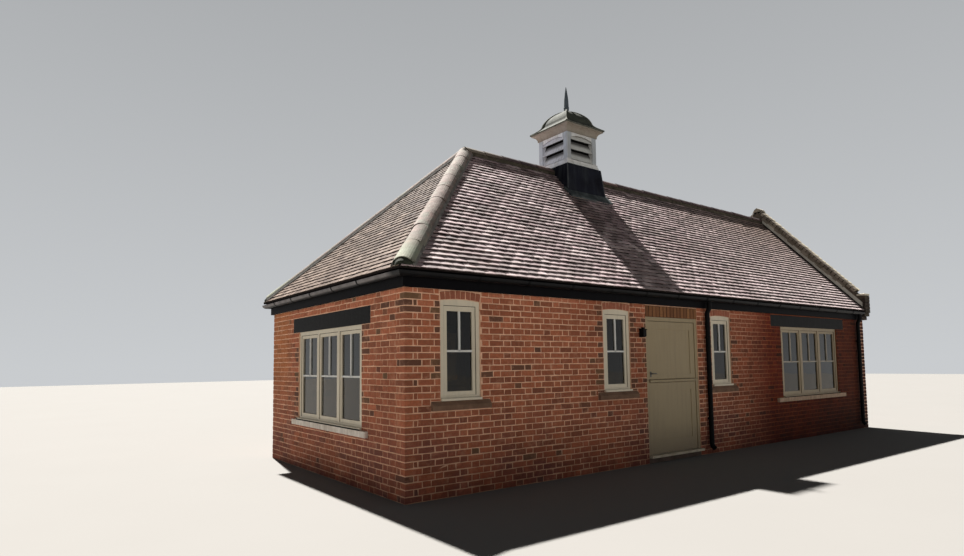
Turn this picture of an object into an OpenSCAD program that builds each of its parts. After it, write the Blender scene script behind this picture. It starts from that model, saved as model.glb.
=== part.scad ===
// Single-storey brick outbuilding with a hipped tile roof, a parapet gable at
// the far end and a louvred cupola astride the ridge.
// Lengths are in millimetres. The building is drawn from its front corner,
// X along the front, Y into the depth and Z up from the ground, and place()
// then moves it so that the middle of its box is the origin.

/* [Building] */
// Length of the front wall, with the far gable wall
length = 11750; // [9800:10:14100]
// Depth from the front wall's face to the back wall's face
depth = 4450; // [3700:10:5350]
// Thickness of the front, back and hip end walls
wall_t = 215; // [180:5:330]
// Thickness of the far gable wall
gable_t = 215; // [200:5:450]
// Top of the floor above the ground
floor_h = 80; // [60:5:120]

/* [Roof] */
// Height of the tiled surface at the eaves edge
eaves_h = 2593; // [2560:1:3100]
// Height at which the two main slopes meet
ridge_h = 5070; // [4300:10:6000]
// Distance from the hip end wall's face to the end of the ridge
hip_run = 2400; // [2000:10:2900]
// How far the tiles stand out past the walls
overhang = 140; // [120:5:170]
// Thickness of the roof, measured upright
roof_drop = 160; // [130:5:200]
// Thickness of the tiles alone, measured upright
tile_drop = 25; // [20:5:60]
// Radius of the round ridge tiles
ridge_r = 110; // [90:5:130]
// Radius of the round hip tiles
hip_r = 90; // [75:5:130]
// How far up the hip line they start
hip_foot = 210; // [100:10:300]

/* [Eaves] */
// Gap between the wall's face and the back of the fascia
fascia_gap = 20; // [5:1:40]
// Thickness of the fascia board
fascia_t = 25; // [18:1:32]
// Height of the fascia's lower edge
fascia_low = 2380; // [2300:5:2450]
// Outer radius of the half-round gutter
gutter_r = 56; // [50:1:65]
// Thickness of the gutter's wall
gutter_t = 5; // [3:0.5:8]
// Height of the gutter's lip
gutter_top = 2545; // [2480:5:2560]
// Diameter of the downpipes
pipe_d = 76; // [60:1:90]
// Where the downpipes stand, along the front
pipe_x = [5670, 11370];
// Gap between the wall's face and a downpipe
pipe_gap = 20; // [10:1:30]
// Heights at which clips hold the downpipes
clip_z = [560, 1880];
// Spacing of the brackets under the gutters
bracket_pitch = 770; // [600:10:1000]

/* [Parapet] */
// Height of the gable wall's top over the tiles
parapet_up = 220; // [100:5:300]
// Height of the coping, measured upright
coping_t = 110; // [80:5:200]
// How far the coping stands out past the gable wall on each side
coping_out = 30; // [20:5:60]
// Height of the kneelers' flat tops over the eaves edge
kneeler_up = 377; // [340:1:420]
// How far a kneeler stands out past the front or back wall
kneeler_out = 175; // [160:5:200]

/* [Small windows] */
// Left edges of the small windows, along the front
small_x = [468, 3207, 5845];
// Width of a small window
small_w = 572; // [480:1:680]
// Height of its foot, where the timber stands on the sill
small_low = 1094; // [950:1:1300]
// Height of its head at the jambs
small_high = 2258; // [2000:1:2260]
// Rise of its curved head
small_rise = 20; // [15:1:45]
// Depth of the brick arch over it
arch_t = 100; // [80:1:130]
// How far its sloping sill reaches past each side
small_sill_over = 130; // [60:5:150]
// Height of that sill
small_sill_h = 105; // [70:5:150]

/* [Large windows] */
// Left edge of the front's large window
big_x = 8129; // [7600:1:8400]
// Width of the front's large window
big_w = 2285; // [1900:1:2450]
// Top of the front window's stone sill
big_low = 808; // [700:1:1000]
// Underside of the front window's lintel
big_high = 2148; // [1950:1:2160]
// Near edge of the hip end's large window, from the front
hip_win_y = 1082; // [900:1:1200]
// Width of the hip end's large window
hip_win_w = 2182; // [1800:1:2300]
// Top of the hip end's stone sill
hip_win_low = 711; // [600:1:900]
// Underside of the hip end's lintel
hip_win_high = 2028; // [1900:1:2060]
// Height of a lintel board
lintel_h = 218; // [150:1:225]
// How far a lintel reaches past its window
lintel_over = 350; // [150:5:420]
// How far the hip end's lintel reaches past its window
hip_lintel_over = 245; // [150:5:300]
// Height of a stone sill
stone_sill_h = 75; // [50:5:100]
// How far a stone sill reaches past its window
stone_sill_over = 230; // [60:5:260]
// How far the hip end's stone sill reaches past its window
hip_sill_over = 175; // [60:5:260]
// How far sills stand out from the wall
sill_out = 45; // [20:5:60]

/* [Window joinery] */
// How far the frames stand back from the wall's face
frame_back = 15; // [5:1:60]
// Depth of a window frame
frame_d = 75; // [60:1:95]
// Width of a frame's members
frame_w = 55; // [40:1:70]
// Width of a sash's members
sash_w = 50; // [35:1:60]
// Height of a small sash's head rail
sash_head = 65; // [35:1:90]
// Depth of a sash
sash_d = 45; // [35:1:55]
// Height of a frame's foot rail
foot_rail = 55; // [40:1:90]
// Thickness of the glass
glass_t = 6; // [4:1:10]

/* [Stable door] */
// Left edge of the door frame, along the front
door_x = 4146; // [4050:1:4250]
// Width over the door frame
door_w = 1304; // [1100:1:1330]
// Height of the door frame's head
door_high = 2198; // [2050:1:2250]
// Height of the row of upright bricks over it
soldier_h = 172; // [120:1:200]
// Width of the frame's members
door_frame_w = 60; // [45:1:80]
// Height of the threshold
threshold_h = 35; // [25:1:70]
// How far the threshold's nosing stands out from the wall
threshold_out = 65; // [20:5:90]
// Thickness of a leaf
leaf_t = 45; // [38:1:60]
// Gap round a leaf
leaf_gap = 7; // [6:0.5:10]
// Height at which the two leaves part
leaf_split = 1194; // [1000:1:1400]
// How far the pivots stand behind the leaves' inner face
pivot_back = 8; // [7:0.5:12]
// Width of a leaf's stiles and upper rails
stile_w = 120; // [70:5:140]
// Height of the lower leaf's foot rail
kick_rail = 190; // [120:5:240]
// How far a leaf's panel lies back from its frame
panel_back = 8; // [4:1:15]

/* [Cupola] */
// Middle of the cupola, along the front
cupola_x = 4800; // [4300:10:5600]
// Half the width of its louvred box
box_half = 379; // [320:1:440]
// Half the width of its lead base at the top
plinth_half = 430; // [390:1:480]
// Half the width of its lead base at its foot
plinth_foot = 512; // [500:1:620]
// Height of the base's top over the ridge line
plinth_up = 52; // [40:1:200]
// Height of the louvred box
box_h = 613; // [450:1:650]
// Width of its corner posts
post_w = 95; // [50:1:120]
// Height of the lowest louvre board's foot over the base's top
louvre_low = 115; // [106:1:140]
// Spacing of the louvre boards
louvre_pitch = 185; // [140:1:200]
// Height of the cove under the lead roof
cove_h = 130; // [100:1:200]
// Half the width of the lead roof at its eaves
bell_half = 488; // [440:1:560]
// Height of the bell-shaped lead roof
bell_h = 430; // [380:1:560]
// How far the rolls on its hips stand out
roll_out = 12; // [8:1:20]
// Height of the spike on it
spike_h = 500; // [300:5:700]

/* [Hidden] */
$fn = 64;

seat = 0.3;             // clearance between a piece and its seat
past = 300;             // how far cutting shapes run past what they cut
sky = 7500;             // a height over everything
mid_y = depth / 2;
inner_x = length - gable_t;             // inner face of the far gable wall
main_slope = (ridge_h - eaves_h) / (mid_y + overhang);
hip_slope = (ridge_h - eaves_h) / (hip_run + overhang);
fascia_out = fascia_gap + fascia_t;
gutter_mid = fascia_out + seat + gutter_r;      // gutter's middle, out from the wall's face
gutter_reach = gutter_mid + gutter_r;
x_low = -gutter_reach;
x_high = length + coping_out;
frame_high = floor_h + threshold_h;     // top of the threshold

function main_z(y) = eaves_h + main_slope * (y + overhang);
function hip_z(x) = eaves_h + hip_slope * (x + overhang);

// Points of a smooth curve from a to d that leaves towards b and arrives from c.
function curve(a, b, c, d, steps) = [for (i = [0 : steps]) let (t = i / steps, s = 1 - t)
    s * s * s * a + 3 * s * s * t * b + 3 * s * t * t * c + t * t * t * d];

module place() translate([-(x_low + x_high) / 2, -mid_y, 0]) children();

// Turns a drawing in Y and Z into a solid that runs along X from x0 to x1.
module along_x(x0, x1) translate([x0, 0, 0]) rotate([90, 0, 90]) linear_extrude(x1 - x0) children();

// Turns a drawing in X and Z into a solid that runs along Y from y0 to y1.
module along_y(y0, y1) translate([0, y1, 0]) rotate([90, 0, 0]) linear_extrude(y1 - y0) children();

// The front half as drawn, and its mirror image on the back half.
module front_and_back() {
    children();
    translate([0, depth, 0]) mirror([0, 1, 0]) children();
}

// Everything under the three roof planes lowered by drop, out to reach past the walls.
module under_roof(drop, reach, x_end) {
    edge = main_z(-reach) - drop;
    top = ridge_h - drop + past;
    intersection() {
        along_x(-reach, x_end)
            polygon([[-reach, -past], [depth + reach, -past], [depth + reach, edge],
                [mid_y, ridge_h - drop], [-reach, edge]]);
        along_y(-reach - past, depth + reach + past)
            polygon([[-reach, -past], [x_end + past, -past], [x_end + past, top],
                [(top + drop - eaves_h) / hip_slope - overhang, top], [-reach, hip_z(-reach) - drop]]);
    }
}

// The tiles, thin past the fascia and on full rafters behind it.
module roof_shell() difference() {
    under_roof(0, overhang, inner_x - seat);
    under_roof(roof_drop, overhang + past, length);
    difference() {
        under_roof(tile_drop, overhang + past, length);
        translate([-fascia_gap, -fascia_gap, -past]) cube([length, depth + 2 * fascia_gap, sky]);
    }
}

// Plan of the front slope: everything in front of the ridge and beside the hip line.
module front_plan() translate([seat, 0, 0]) {
    run = [hip_run + overhang, mid_y + overhang];
    foot = [-overhang, -overhang] - run / 10;
    linear_extrude(sky) polygon([foot, [length, foot[1]], [length, mid_y], [hip_run, mid_y]]);
}

// Plan of the hip end's slope, between the two hip lines.
module hip_plan() translate([-seat, 0, 0]) {
    run = [hip_run + overhang, mid_y + overhang];
    foot = [-overhang, -overhang] - run / 10;
    linear_extrude(sky) polygon([foot, [hip_run, mid_y], [foot[0], depth - foot[1]]]);
}

module front_roof_slope() color("#6b5550") place() intersection() {
    roof_shell();
    front_plan();
}

module back_roof_slope() color("#6b5550") place() intersection() {
    roof_shell();
    translate([0, depth, 0]) mirror([0, 1, 0]) front_plan();
}

module hip_roof_slope() color("#75605a") place() intersection() {
    roof_shell();
    hip_plan();
}

// Round capping along the front hip line, from the eaves corner to the ridge's end.
module hip_capping() {
    run = [hip_run + overhang, mid_y + overhang];
    level = norm(run);
    rise = ridge_h - eaves_h;
    tilt = atan2(rise, level);
    turn = atan2(run[1], run[0]);
    sink = hip_r * 0.69;        // how far the capping's axis lies under the hip line
    intersection() {
        difference() {
            translate([-overhang, -overhang, eaves_h]) rotate([0, 90 - tilt, turn])
                translate([sink, 0, hip_foot])
                    cylinder(h = norm([level, rise]) + hip_r - hip_foot, r = hip_r);
            under_roof(-seat, overhang + past, length);
        }
        translate([seat - overhang, -overhang, 0])
            cube([hip_run + overhang - 2 * seat, mid_y + overhang, sky]);
    }
}

module front_hip_tiles() color("#a39a8b") place() hip_capping();

module back_hip_tiles() color("#a39a8b") place()
    translate([0, depth, 0]) mirror([0, 1, 0]) hip_capping();

module ridge_tiles() color("#4d3733") place() difference() {
    translate([hip_run, mid_y, ridge_h - ridge_r * 0.68]) rotate([0, 90, 0])
        cylinder(h = inner_x - seat - hip_run, r = ridge_r);
    under_roof(-seat, overhang, length);
    plinth_form(seat, ridge_r);
}

// A block of wall that stops under the roof.
module wall_block(x0, x1, y0, y1) intersection() {
    translate([x0, y0, 0]) cube([x1 - x0, y1 - y0, sky]);
    under_roof(roof_drop + seat, 0, length);
}

// Outline of a small window's curved head: its radius and the middle of its arc.
head_r = (small_w * small_w / 4 + small_rise * small_rise) / (2 * small_rise);
head_mid = small_high + small_rise - head_r;

// Outline of a small window, shrunk by inset on every side.
module small_outline(inset, low) intersection() {
    translate([inset, low]) square([small_w - 2 * inset, small_high + small_rise - low]);
    translate([small_w / 2, head_mid]) circle(head_r - inset, $fn = 180);
}

// Outline of the brick arch over a small window, its ends cut towards the arc's middle.
// It laps the window's head by lap.
module arch_outline(lap) intersection() {
    translate([small_w / 2, head_mid]) difference() {
        circle(head_r + arch_t, $fn = 180);
        circle(head_r - lap, $fn = 180);
    }
    polygon([[small_w / 2, head_mid],
        [small_w / 2 - small_w / head_r * (head_r + arch_t), head_mid + 2 * (head_r + arch_t)],
        [small_w / 2 + small_w / head_r * (head_r + arch_t), head_mid + 2 * (head_r + arch_t)]]);
}

// Outline of a small window's sill, as wide as it is built into the wall.
module small_sill_outline() translate([-small_sill_over, small_low - small_sill_h])
    square([small_w + 2 * small_sill_over, small_sill_h]);

// All that a small window takes out of its wall.
module small_window_cut(y0, y1) for (x = small_x) translate([x, 0, 0]) along_y(y0, y1) {
    small_outline(0, small_low - seat);
    arch_outline(1);
    small_sill_outline();
}

// All that a large window takes out of its wall: light, lintel and sill.
module big_outline(w, low, high, over, sill_over) {
    translate([0, low - seat]) square([w, high - low + 2 * seat]);
    translate([-over, high]) square([w + 2 * over, lintel_h]);
    translate([-sill_over, low - stone_sill_h]) square([w + 2 * sill_over, stone_sill_h]);
}

module front_wall_left() color("#96492f") place() difference() {
    wall_block(0, door_x, 0, wall_t);
    small_window_cut(-past, wall_t + past);
}

module front_wall_over_door() color("#96492f") place() difference() {
    wall_block(door_x, door_x + door_w, 0, wall_t);
    translate([door_x - past, -past, -past]) cube([door_w + 2 * past, wall_t + 2 * past,
        door_high + soldier_h + past]);
}

module front_wall_right() color("#96492f") place() difference() {
    wall_block(door_x + door_w, inner_x, 0, wall_t);
    small_window_cut(-past, wall_t + past);
    translate([big_x, 0, 0]) along_y(-past, wall_t + past)
        big_outline(big_w, big_low, big_high, lintel_over, stone_sill_over);
}

module hip_end_wall() color("#96492f") place() difference() {
    wall_block(0, wall_t, wall_t, depth - wall_t);
    translate([0, hip_win_y, 0]) along_x(-past, wall_t + past)
        big_outline(hip_win_w, hip_win_low, hip_win_high, hip_lintel_over, hip_sill_over);
}

module back_wall() color("#96492f") place() difference() {
    wall_block(0, inner_x, depth - wall_t, depth);
    small_window_cut(depth - wall_t - past, depth + past);
}

// Gable wall up to its parapet, which follows the slopes.
module far_gable_wall() color("#96492f") place() along_x(inner_x, length)
    polygon([[0, 0], [depth, 0], [depth, main_z(0) + parapet_up], [mid_y, ridge_h + parapet_up],
        [0, main_z(0) + parapet_up]]);

module floor_slab() color("#8f8b84") place() translate([wall_t, wall_t, 0])
    cube([inner_x - wall_t, depth - 2 * wall_t, floor_h]);

module door_step() color("#5d5550") place() translate([door_x, 0, 0]) cube([door_w, wall_t, floor_h]);

module door_soldier_arch() color("#a4552f") place() translate([door_x, 0, door_high])
    cube([door_w, wall_t, soldier_h]);

module small_window_arches() color("#9c4a36") place() front_and_back()
    for (x = small_x) translate([x, 0, 0]) along_y(0, wall_t) arch_outline(0);

// One side of the sloping coping, from just over the kneeler to the apex.
kneeler_top = eaves_h + kneeler_up;
kneeler_in = (kneeler_up - parapet_up) / main_slope - overhang;     // where its flat top ends
coping_end = kneeler_in + 48;           // where the coping ends, in from the front wall's face
module coping_side() along_x(inner_x - coping_out, length + coping_out)
    polygon([[coping_end, main_z(coping_end) + parapet_up + seat], [mid_y, ridge_h + parapet_up + seat],
        [mid_y, ridge_h + parapet_up + coping_t], [coping_end, main_z(coping_end) + parapet_up + coping_t]]);

module parapet_coping_front() color("#8b8478") place() coping_side();

module parapet_coping_back() color("#8b8478") place()
    translate([0, depth, 0]) mirror([0, 1, 0]) coping_side();

// Block that closes the eaves, corbelled out from the wall, with a flat top.
module parapet_kneelers() color("#54443f") place() front_and_back()
    along_x(inner_x, length + coping_out)
        polygon([[0, fascia_low], [-fascia_out, fascia_low], [-kneeler_out, fascia_low + kneeler_out],
            [-kneeler_out, kneeler_top], [kneeler_in, kneeler_top], [0, main_z(0) + parapet_up]]);

// Lead on the tiles beside the parapet, turned up against it to the coping's underside.
lead_t = 8;             // thickness of the lead with its folds
flashing_w = 150;       // how far it reaches over the tiles
module parapet_flashing() color("#5f6164") place() front_and_back() difference() {
    intersection() {
        translate([inner_x - flashing_w, -overhang, 0])
            cube([flashing_w - seat, mid_y + overhang - ridge_r - seat, sky]);
        under_roof(seat - parapet_up, overhang, length);
        union() {
            under_roof(-seat - lead_t, overhang, length);
            translate([inner_x - seat - lead_t, 0, 0]) cube([lead_t, depth, sky]);
        }
    }
    under_roof(-seat, overhang + past, length);
}

// A board round the eaves: its drawing in Y and Z, mitred at the corners.
module round_front(x_end) intersection() {
    along_x(-gutter_reach - 1, x_end) children();
    linear_extrude(sky)
        polygon([[-2 * past, -2 * past], [length, -2 * past], [length, mid_y], [mid_y, mid_y]]);
}

module round_hip() intersection() {
    translate([0, depth + past, 0]) rotate([0, 0, -90]) along_x(0, depth + 2 * past) children();
    linear_extrude(sky) polygon([[-2 * past, -2 * past], [mid_y, mid_y], [-2 * past, depth + 2 * past]]);
}

// Drawing of a fascia, higher than the tiles that cut it off.
module fascia_profile() translate([-fascia_out, fascia_low]) square([fascia_t - seat, 2 * past]);

// Keeps what lies under the tiles.
module under_tiles() intersection() {
    children();
    under_roof(tile_drop + seat, overhang, length);
}

module front_fascia() color("#15171f") place() under_tiles()
    round_front(inner_x - seat) fascia_profile();

module hip_fascia() color("#15171f") place() under_tiles() round_hip() fascia_profile();

module back_fascia() color("#15171f") place() under_tiles()
    translate([0, depth, 0]) mirror([0, 1, 0]) round_front(inner_x - seat) fascia_profile();

module gutter_profile() translate([-gutter_mid, gutter_top]) difference() {
    circle(gutter_r);
    circle(gutter_r - gutter_t);
    translate([-gutter_r - 1, 0]) square([2 * gutter_r + 2, gutter_r + 1]);
}

module front_gutter() color("#1b1c1e") place()
    round_front(inner_x - seat) gutter_profile();

module hip_gutter() color("#1b1c1e") place() round_hip() gutter_profile();

module back_gutter() color("#1b1c1e") place()
    translate([0, depth, 0]) mirror([0, 1, 0]) round_front(inner_x - seat) gutter_profile();

// Strap under a gutter, held by the fascia, standing at each of a list of places.
strap_t = 4;            // thickness of a strap
strap_w = 30;           // width of a strap
module straps(places) for (p = places) along_x(p, p + strap_w) intersection() {
    translate([-gutter_mid, gutter_top]) difference() {
        circle(gutter_r + strap_t);
        circle(gutter_r + seat);
    }
    translate([-gutter_mid - gutter_r - strap_t, gutter_top - gutter_r - strap_t])
        square([2 * gutter_r + strap_t, gutter_r + strap_t]);
}

// Places for the straps, counted from the front's hip corner and clear of the pipes.
strap_from = 930;
strap_x = [for (x = [strap_from : bracket_pitch : inner_x - 200])
    if (min([for (p = pipe_x) abs(x + strap_w / 2 - p)]) > pipe_d) x];
strap_y = [for (y = [strap_from : bracket_pitch : depth - 300]) depth - y];

module gutter_brackets() color("#101012") place() {
    front_and_back() straps(strap_x);
    translate([0, depth, 0]) rotate([0, 0, -90]) straps(strap_y);
}

// A straight length of pipe that runs down, with what follows it at its lower end.
module pipe_run(h) translate([0, 0, -h]) {
    cylinder(h = h, d = pipe_d);
    children();
}

// A bend towards the wall by an angle, with what follows it at its far end.
module pipe_turn(angle) {
    multmatrix([[0, 0, 1, 0], [-1, 0, 0, bend_r], [0, -1, 0, 0], [0, 0, 0, 1]])
        rotate_extrude(angle = angle) translate([bend_r, 0]) circle(d = pipe_d);
    translate([0, bend_r * (1 - cos(angle)), -bend_r * sin(angle)]) rotate([angle, 0, 0]) children();
}

// The same bend away from the wall.
module pipe_turn_out(angle) mirror([0, 1, 0]) pipe_turn(angle) mirror([0, 1, 0]) children();

// Downpipe: out of the gutter, back to the wall, down and out at the shoe.
bend_r = 80;            // radius of the pipe's bends
neck_turn = 30;         // how far the swan neck leans towards the wall
shoe_turn = 50;         // how far the shoe turns out
neck_top = 85;          // straight pipe over the swan neck
neck_run = (gutter_mid - pipe_gap - pipe_d / 2 - 2 * bend_r * (1 - cos(neck_turn))) / sin(neck_turn);
neck_low = gutter_top - gutter_r - seat - neck_top - 2 * bend_r * sin(neck_turn) - neck_run * cos(neck_turn);
shoe_z = 175;           // height at which the shoe starts to turn
module downpipe() translate([0, -gutter_mid, gutter_top - gutter_r - seat])
    pipe_run(neck_top) pipe_turn(neck_turn) pipe_run(neck_run) pipe_turn_out(neck_turn)
        pipe_run(neck_low - shoe_z) pipe_turn_out(shoe_turn) pipe_run(30);

// The front has a pipe at each place, and the back has one at the far end.
module at_pipes() {
    for (x = pipe_x) translate([x, 0, 0]) children();
    translate([pipe_x[1], depth, 0]) mirror([0, 1, 0]) children();
}

module downpipes() color("#141416") place() at_pipes() downpipe();

// Ring round a downpipe with a lug back to the wall.
clip_h = 35;            // height of a clip
lug_w = 24;             // width of its lug
module downpipe_clips() color("#101012") place() at_pipes() for (z = clip_z)
    translate([0, -pipe_gap - pipe_d / 2, z]) difference() {
        union() {
            cylinder(h = clip_h, d = pipe_d + 2 * strap_t);
            translate([-lug_w / 2, 0, 0]) cube([lug_w, pipe_gap + pipe_d / 2 - seat, clip_h]);
        }
        translate([0, 0, -1]) cylinder(h = clip_h + 2, d = pipe_d + 2 * seat);
    }

// Sloping sill under a small window, with its nose out from the wall.
module small_window_sills() color("#5b4c43") place() front_and_back() for (x = small_x)
    along_x(x - small_sill_over, x + small_w + small_sill_over)
        polygon([[-sill_out, small_low - small_sill_h], [wall_t, small_low - small_sill_h],
            [wall_t, small_low], [0, small_low], [-sill_out, small_low - 50]]);

// The square opening inside a small window's frame, shrunk by inset and lowered at the head by lower.
module small_light(inset, lower) translate([frame_w + inset, small_low + foot_rail + inset])
    square([small_w - 2 * (frame_w + inset),
        small_high - frame_w - small_low - foot_rail - inset - lower]);

module small_window_frames() color("#b9b5a2") place() front_and_back() for (x = small_x)
    translate([x, 0, 0]) {
        along_y(frame_back, frame_back + frame_d) difference() {
            small_outline(seat, small_low);
            small_light(0, 0);
        }
        translate([0, -sill_out + 15, small_low])
            cube([small_w, frame_back + sill_out - 15, foot_rail / 2]);
    }

module small_window_sashes() color("#bfbba9") place() front_and_back() for (x = small_x)
    translate([x, 0, 0]) along_y(frame_back + 10, frame_back + 10 + sash_d) difference() {
        small_light(seat, seat);
        small_light(sash_w, sash_head);
    }

glass_y = frame_back + 10 + sash_d / 2;         // middle of the glass, in from the wall's face
module small_window_glass() color("#2a2f2f") place() front_and_back() for (x = small_x)
    translate([x, 0, 0]) along_y(glass_y - glass_t / 2, glass_y + glass_t / 2)
        small_light(sash_w + seat, sash_head + seat);

// The lights of a large window: three openings side by side between mullions.
function light_w(w) = (w - 4 * frame_w) / 3;
module lights(w, low, high, inset) for (i = [0 : 2])
    translate([frame_w + i * (light_w(w) + frame_w) + inset, low + foot_rail + inset])
        square([light_w(w) - 2 * inset, high - low - foot_rail - frame_w - 2 * inset]);

module big_frame(w, low, high) difference() {
    translate([0, low]) square([w, high - low]);
    lights(w, low, high, 0);
}

module big_casements(w, low, high) difference() {
    lights(w, low, high, seat);
    lights(w, low, high, sash_w);
}

// Puts drawings for the front's large window in its wall, and runs them between two depths.
module in_front_window(y0, y1) translate([big_x, 0, 0]) along_y(y0, y1) children();

// The same for the hip end's large window, with its near edge on the left of the drawing.
module in_hip_window(y0, y1) translate([0, hip_win_y, 0]) along_x(y0, y1) children();

module front_window_frame() color("#b9b5a2") place() {
    in_front_window(frame_back, frame_back + frame_d) big_frame(big_w, big_low, big_high);
    translate([big_x, 15 - sill_out, big_low]) cube([big_w, frame_back + sill_out - 15, foot_rail / 2]);
}

module hip_window_frame() color("#b9b5a2") place() {
    in_hip_window(frame_back, frame_back + frame_d) big_frame(hip_win_w, hip_win_low, hip_win_high);
    translate([15 - sill_out, hip_win_y, hip_win_low])
        cube([frame_back + sill_out - 15, hip_win_w, foot_rail / 2]);
}

module large_window_casements() color("#bfbba9") place() {
    in_front_window(frame_back + 10, frame_back + 10 + sash_d) big_casements(big_w, big_low, big_high);
    in_hip_window(frame_back + 10, frame_back + 10 + sash_d)
        big_casements(hip_win_w, hip_win_low, hip_win_high);
}

module large_window_glass() color("#2a2f2f") place() {
    in_front_window(glass_y - glass_t / 2, glass_y + glass_t / 2)
        lights(big_w, big_low, big_high, sash_w + seat);
    in_hip_window(glass_y - glass_t / 2, glass_y + glass_t / 2)
        lights(hip_win_w, hip_win_low, hip_win_high, sash_w + seat);
}

// Boards across the heads of the large windows, through the wall.
module lintel_boards() color("#1a1b20") place() {
    translate([big_x - lintel_over, 0, big_high]) cube([big_w + 2 * lintel_over, wall_t, lintel_h]);
    translate([0, hip_win_y - hip_lintel_over, hip_win_high])
        cube([wall_t, hip_win_w + 2 * hip_lintel_over, lintel_h]);
}

module stone_sills() color("#b8ad99") place() {
    translate([big_x - stone_sill_over, -sill_out, big_low - stone_sill_h])
        cube([big_w + 2 * stone_sill_over, wall_t + sill_out, stone_sill_h]);
    translate([-sill_out, hip_win_y - hip_sill_over, hip_win_low - stone_sill_h])
        cube([wall_t + sill_out, hip_win_w + 2 * hip_sill_over, stone_sill_h]);
}

// Stable door: two leaves, one over the other, that swing in from the right jamb.
door_frame_y = 10;              // how far the frame stands back from the wall's face
door_frame_d = 90;              // depth of the frame
leaf_y = 20;                    // how far the leaves stand back
leaf_x0 = door_x + door_frame_w + leaf_gap;
leaf_x1 = door_x + door_w - door_frame_w - leaf_gap;
bar_short = 12;                 // how far the weather bar stops short of a leaf's edges
pivot_y = leaf_y + leaf_t + pivot_back;
upper_low = leaf_split + leaf_gap / 2;
upper_high = door_high - door_frame_w - leaf_gap;
lower_low = frame_high + leaf_gap;
lower_high = leaf_split - leaf_gap / 2;

module door_frame() color("#b5ad93") place()
    translate([0, door_frame_y, 0]) difference() {
        translate([door_x, 0, frame_high]) cube([door_w, door_frame_d, door_high - frame_high]);
        translate([door_x + door_frame_w, -1, frame_high - 1])
            cube([door_w - 2 * door_frame_w, door_frame_d + 2, door_high - door_frame_w - frame_high + 1]);
    }

module door_threshold() color("#a8a093") place() translate([door_x, -threshold_out, floor_h])
    cube([door_w, threshold_out + wall_t, threshold_h]);

// A framed leaf with a flat panel that lies back from its face.
module framed_leaf(low, high, low_rail) difference() {
    translate([leaf_x0, leaf_y, low]) cube([leaf_x1 - leaf_x0, leaf_t, high - low]);
    translate([leaf_x0 + stile_w, leaf_y - 1, low + low_rail])
        cube([leaf_x1 - leaf_x0 - 2 * stile_w, panel_back + 1, high - low - low_rail - stile_w]);
}

module upper_door_leaf() color("#b3ab90") place() {
    framed_leaf(upper_low, upper_high, stile_w);
    translate([0, leaf_y, upper_low + 3]) along_x(leaf_x0 + bar_short, leaf_x1 - bar_short)
        polygon([[0, 0], [-20, 0], [-20, 22], [0, 52]]);
}

module lower_door_leaf() color("#b3ab90") place() framed_leaf(lower_low, lower_high, kick_rail);

// Lever handle and its plate, on the upper leaf near its free edge.
module door_handle() color("#1c1a18") place() translate([leaf_x0 + 45, leaf_y, upper_low + 115]) {
    translate([-16, -4, -30]) cube([32, 4, 80]);
    translate([0, -3, 20]) rotate([90, 0, 0]) cylinder(h = 32, d = 14);
    translate([0, -36, 20]) rotate([0, 90, 0]) cylinder(h = 95, d = 13);
}

knuckle_r = 6;          // outer radius of a hinge's knuckles
hinge_h = 90;           // height of a hinge
plate_t = 2;            // thickness of a hinge's plates
upper_hinges = [upper_low + 180, upper_high - 180];
lower_hinges = [lower_low + 180, lower_high - 180];

// Leaf half of a hinge: plate on the leaf's edge and the middle knuckle.
module leaf_hinge(z) translate([leaf_x1, pivot_y, z]) {
    translate([0, -leaf_t, -hinge_h / 6 + 0.5]) cube([plate_t, leaf_t, hinge_h / 3 - 1]);
    translate([0, 0, -hinge_h / 6 + 0.5]) cylinder(h = hinge_h / 3 - 1, r = knuckle_r);
}

// Frame half of a hinge: plate on the jamb and the outer knuckles on their pin's line.
module frame_hinge(z) for (side = [-1, 1]) translate([leaf_x1, pivot_y, z + side * hinge_h / 3]) {
    translate([leaf_gap - plate_t, -leaf_t / 2, -hinge_h / 6]) cube([plate_t, leaf_t / 2, hinge_h / 3]);
    translate([0, -1, -hinge_h / 6]) cube([leaf_gap, 2, hinge_h / 3]);
    translate([0, 0, -hinge_h / 6]) cylinder(h = hinge_h / 3, r = knuckle_r);
}

module upper_leaf_hinges() color("#3a3835") place() for (z = upper_hinges) leaf_hinge(z);
module lower_leaf_hinges() color("#3a3835") place() for (z = lower_hinges) leaf_hinge(z);
module frame_hinges() color("#3a3835") place() for (z = concat(upper_hinges, lower_hinges)) frame_hinge(z);

// Square lantern on a back plate, left of the door.
lantern_x = door_x - 130;
lantern_z = 1870;
module wall_lantern() color("#111214") place() translate([lantern_x, 0, lantern_z]) {
    translate([-25, -8, 10]) cube([50, 8 - seat, 130]);
    translate([-10, -50, 118]) cube([20, 46, 12]);
    translate([0, -58, 22]) linear_extrude(96) square(68, center = true);
    translate([0, -58, 118]) linear_extrude(12) square(86, center = true);
    translate([0, -58, 130]) linear_extrude(26) square(38, center = true);
    translate([0, -58, 10]) linear_extrude(12) square(50, center = true);
}

// A square form whose four sides follow one profile, mitred at the corners.
// The profile is a list of [distance from the middle, height], from the foot up.
module square_form(profile) {
    left = [for (p = profile) [-p[0], p[1]]];
    right = [for (i = [len(profile) - 1 : -1 : 0]) profile[i]];
    reach = max([for (p = profile) p[0]]) + 10;
    translate([cupola_x, mid_y, 0]) intersection() {
        along_x(-reach, reach) polygon(concat(left, right));
        along_y(-reach, reach) polygon(concat(left, right));
    }
}

plinth_top = ridge_h + plinth_up;
box_top = plinth_top + box_h;
bell_low = box_top + cove_h;
bell_top = bell_low + bell_h;
flare_z = plinth_top - 500;             // height at which the lead base starts to flare

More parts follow.
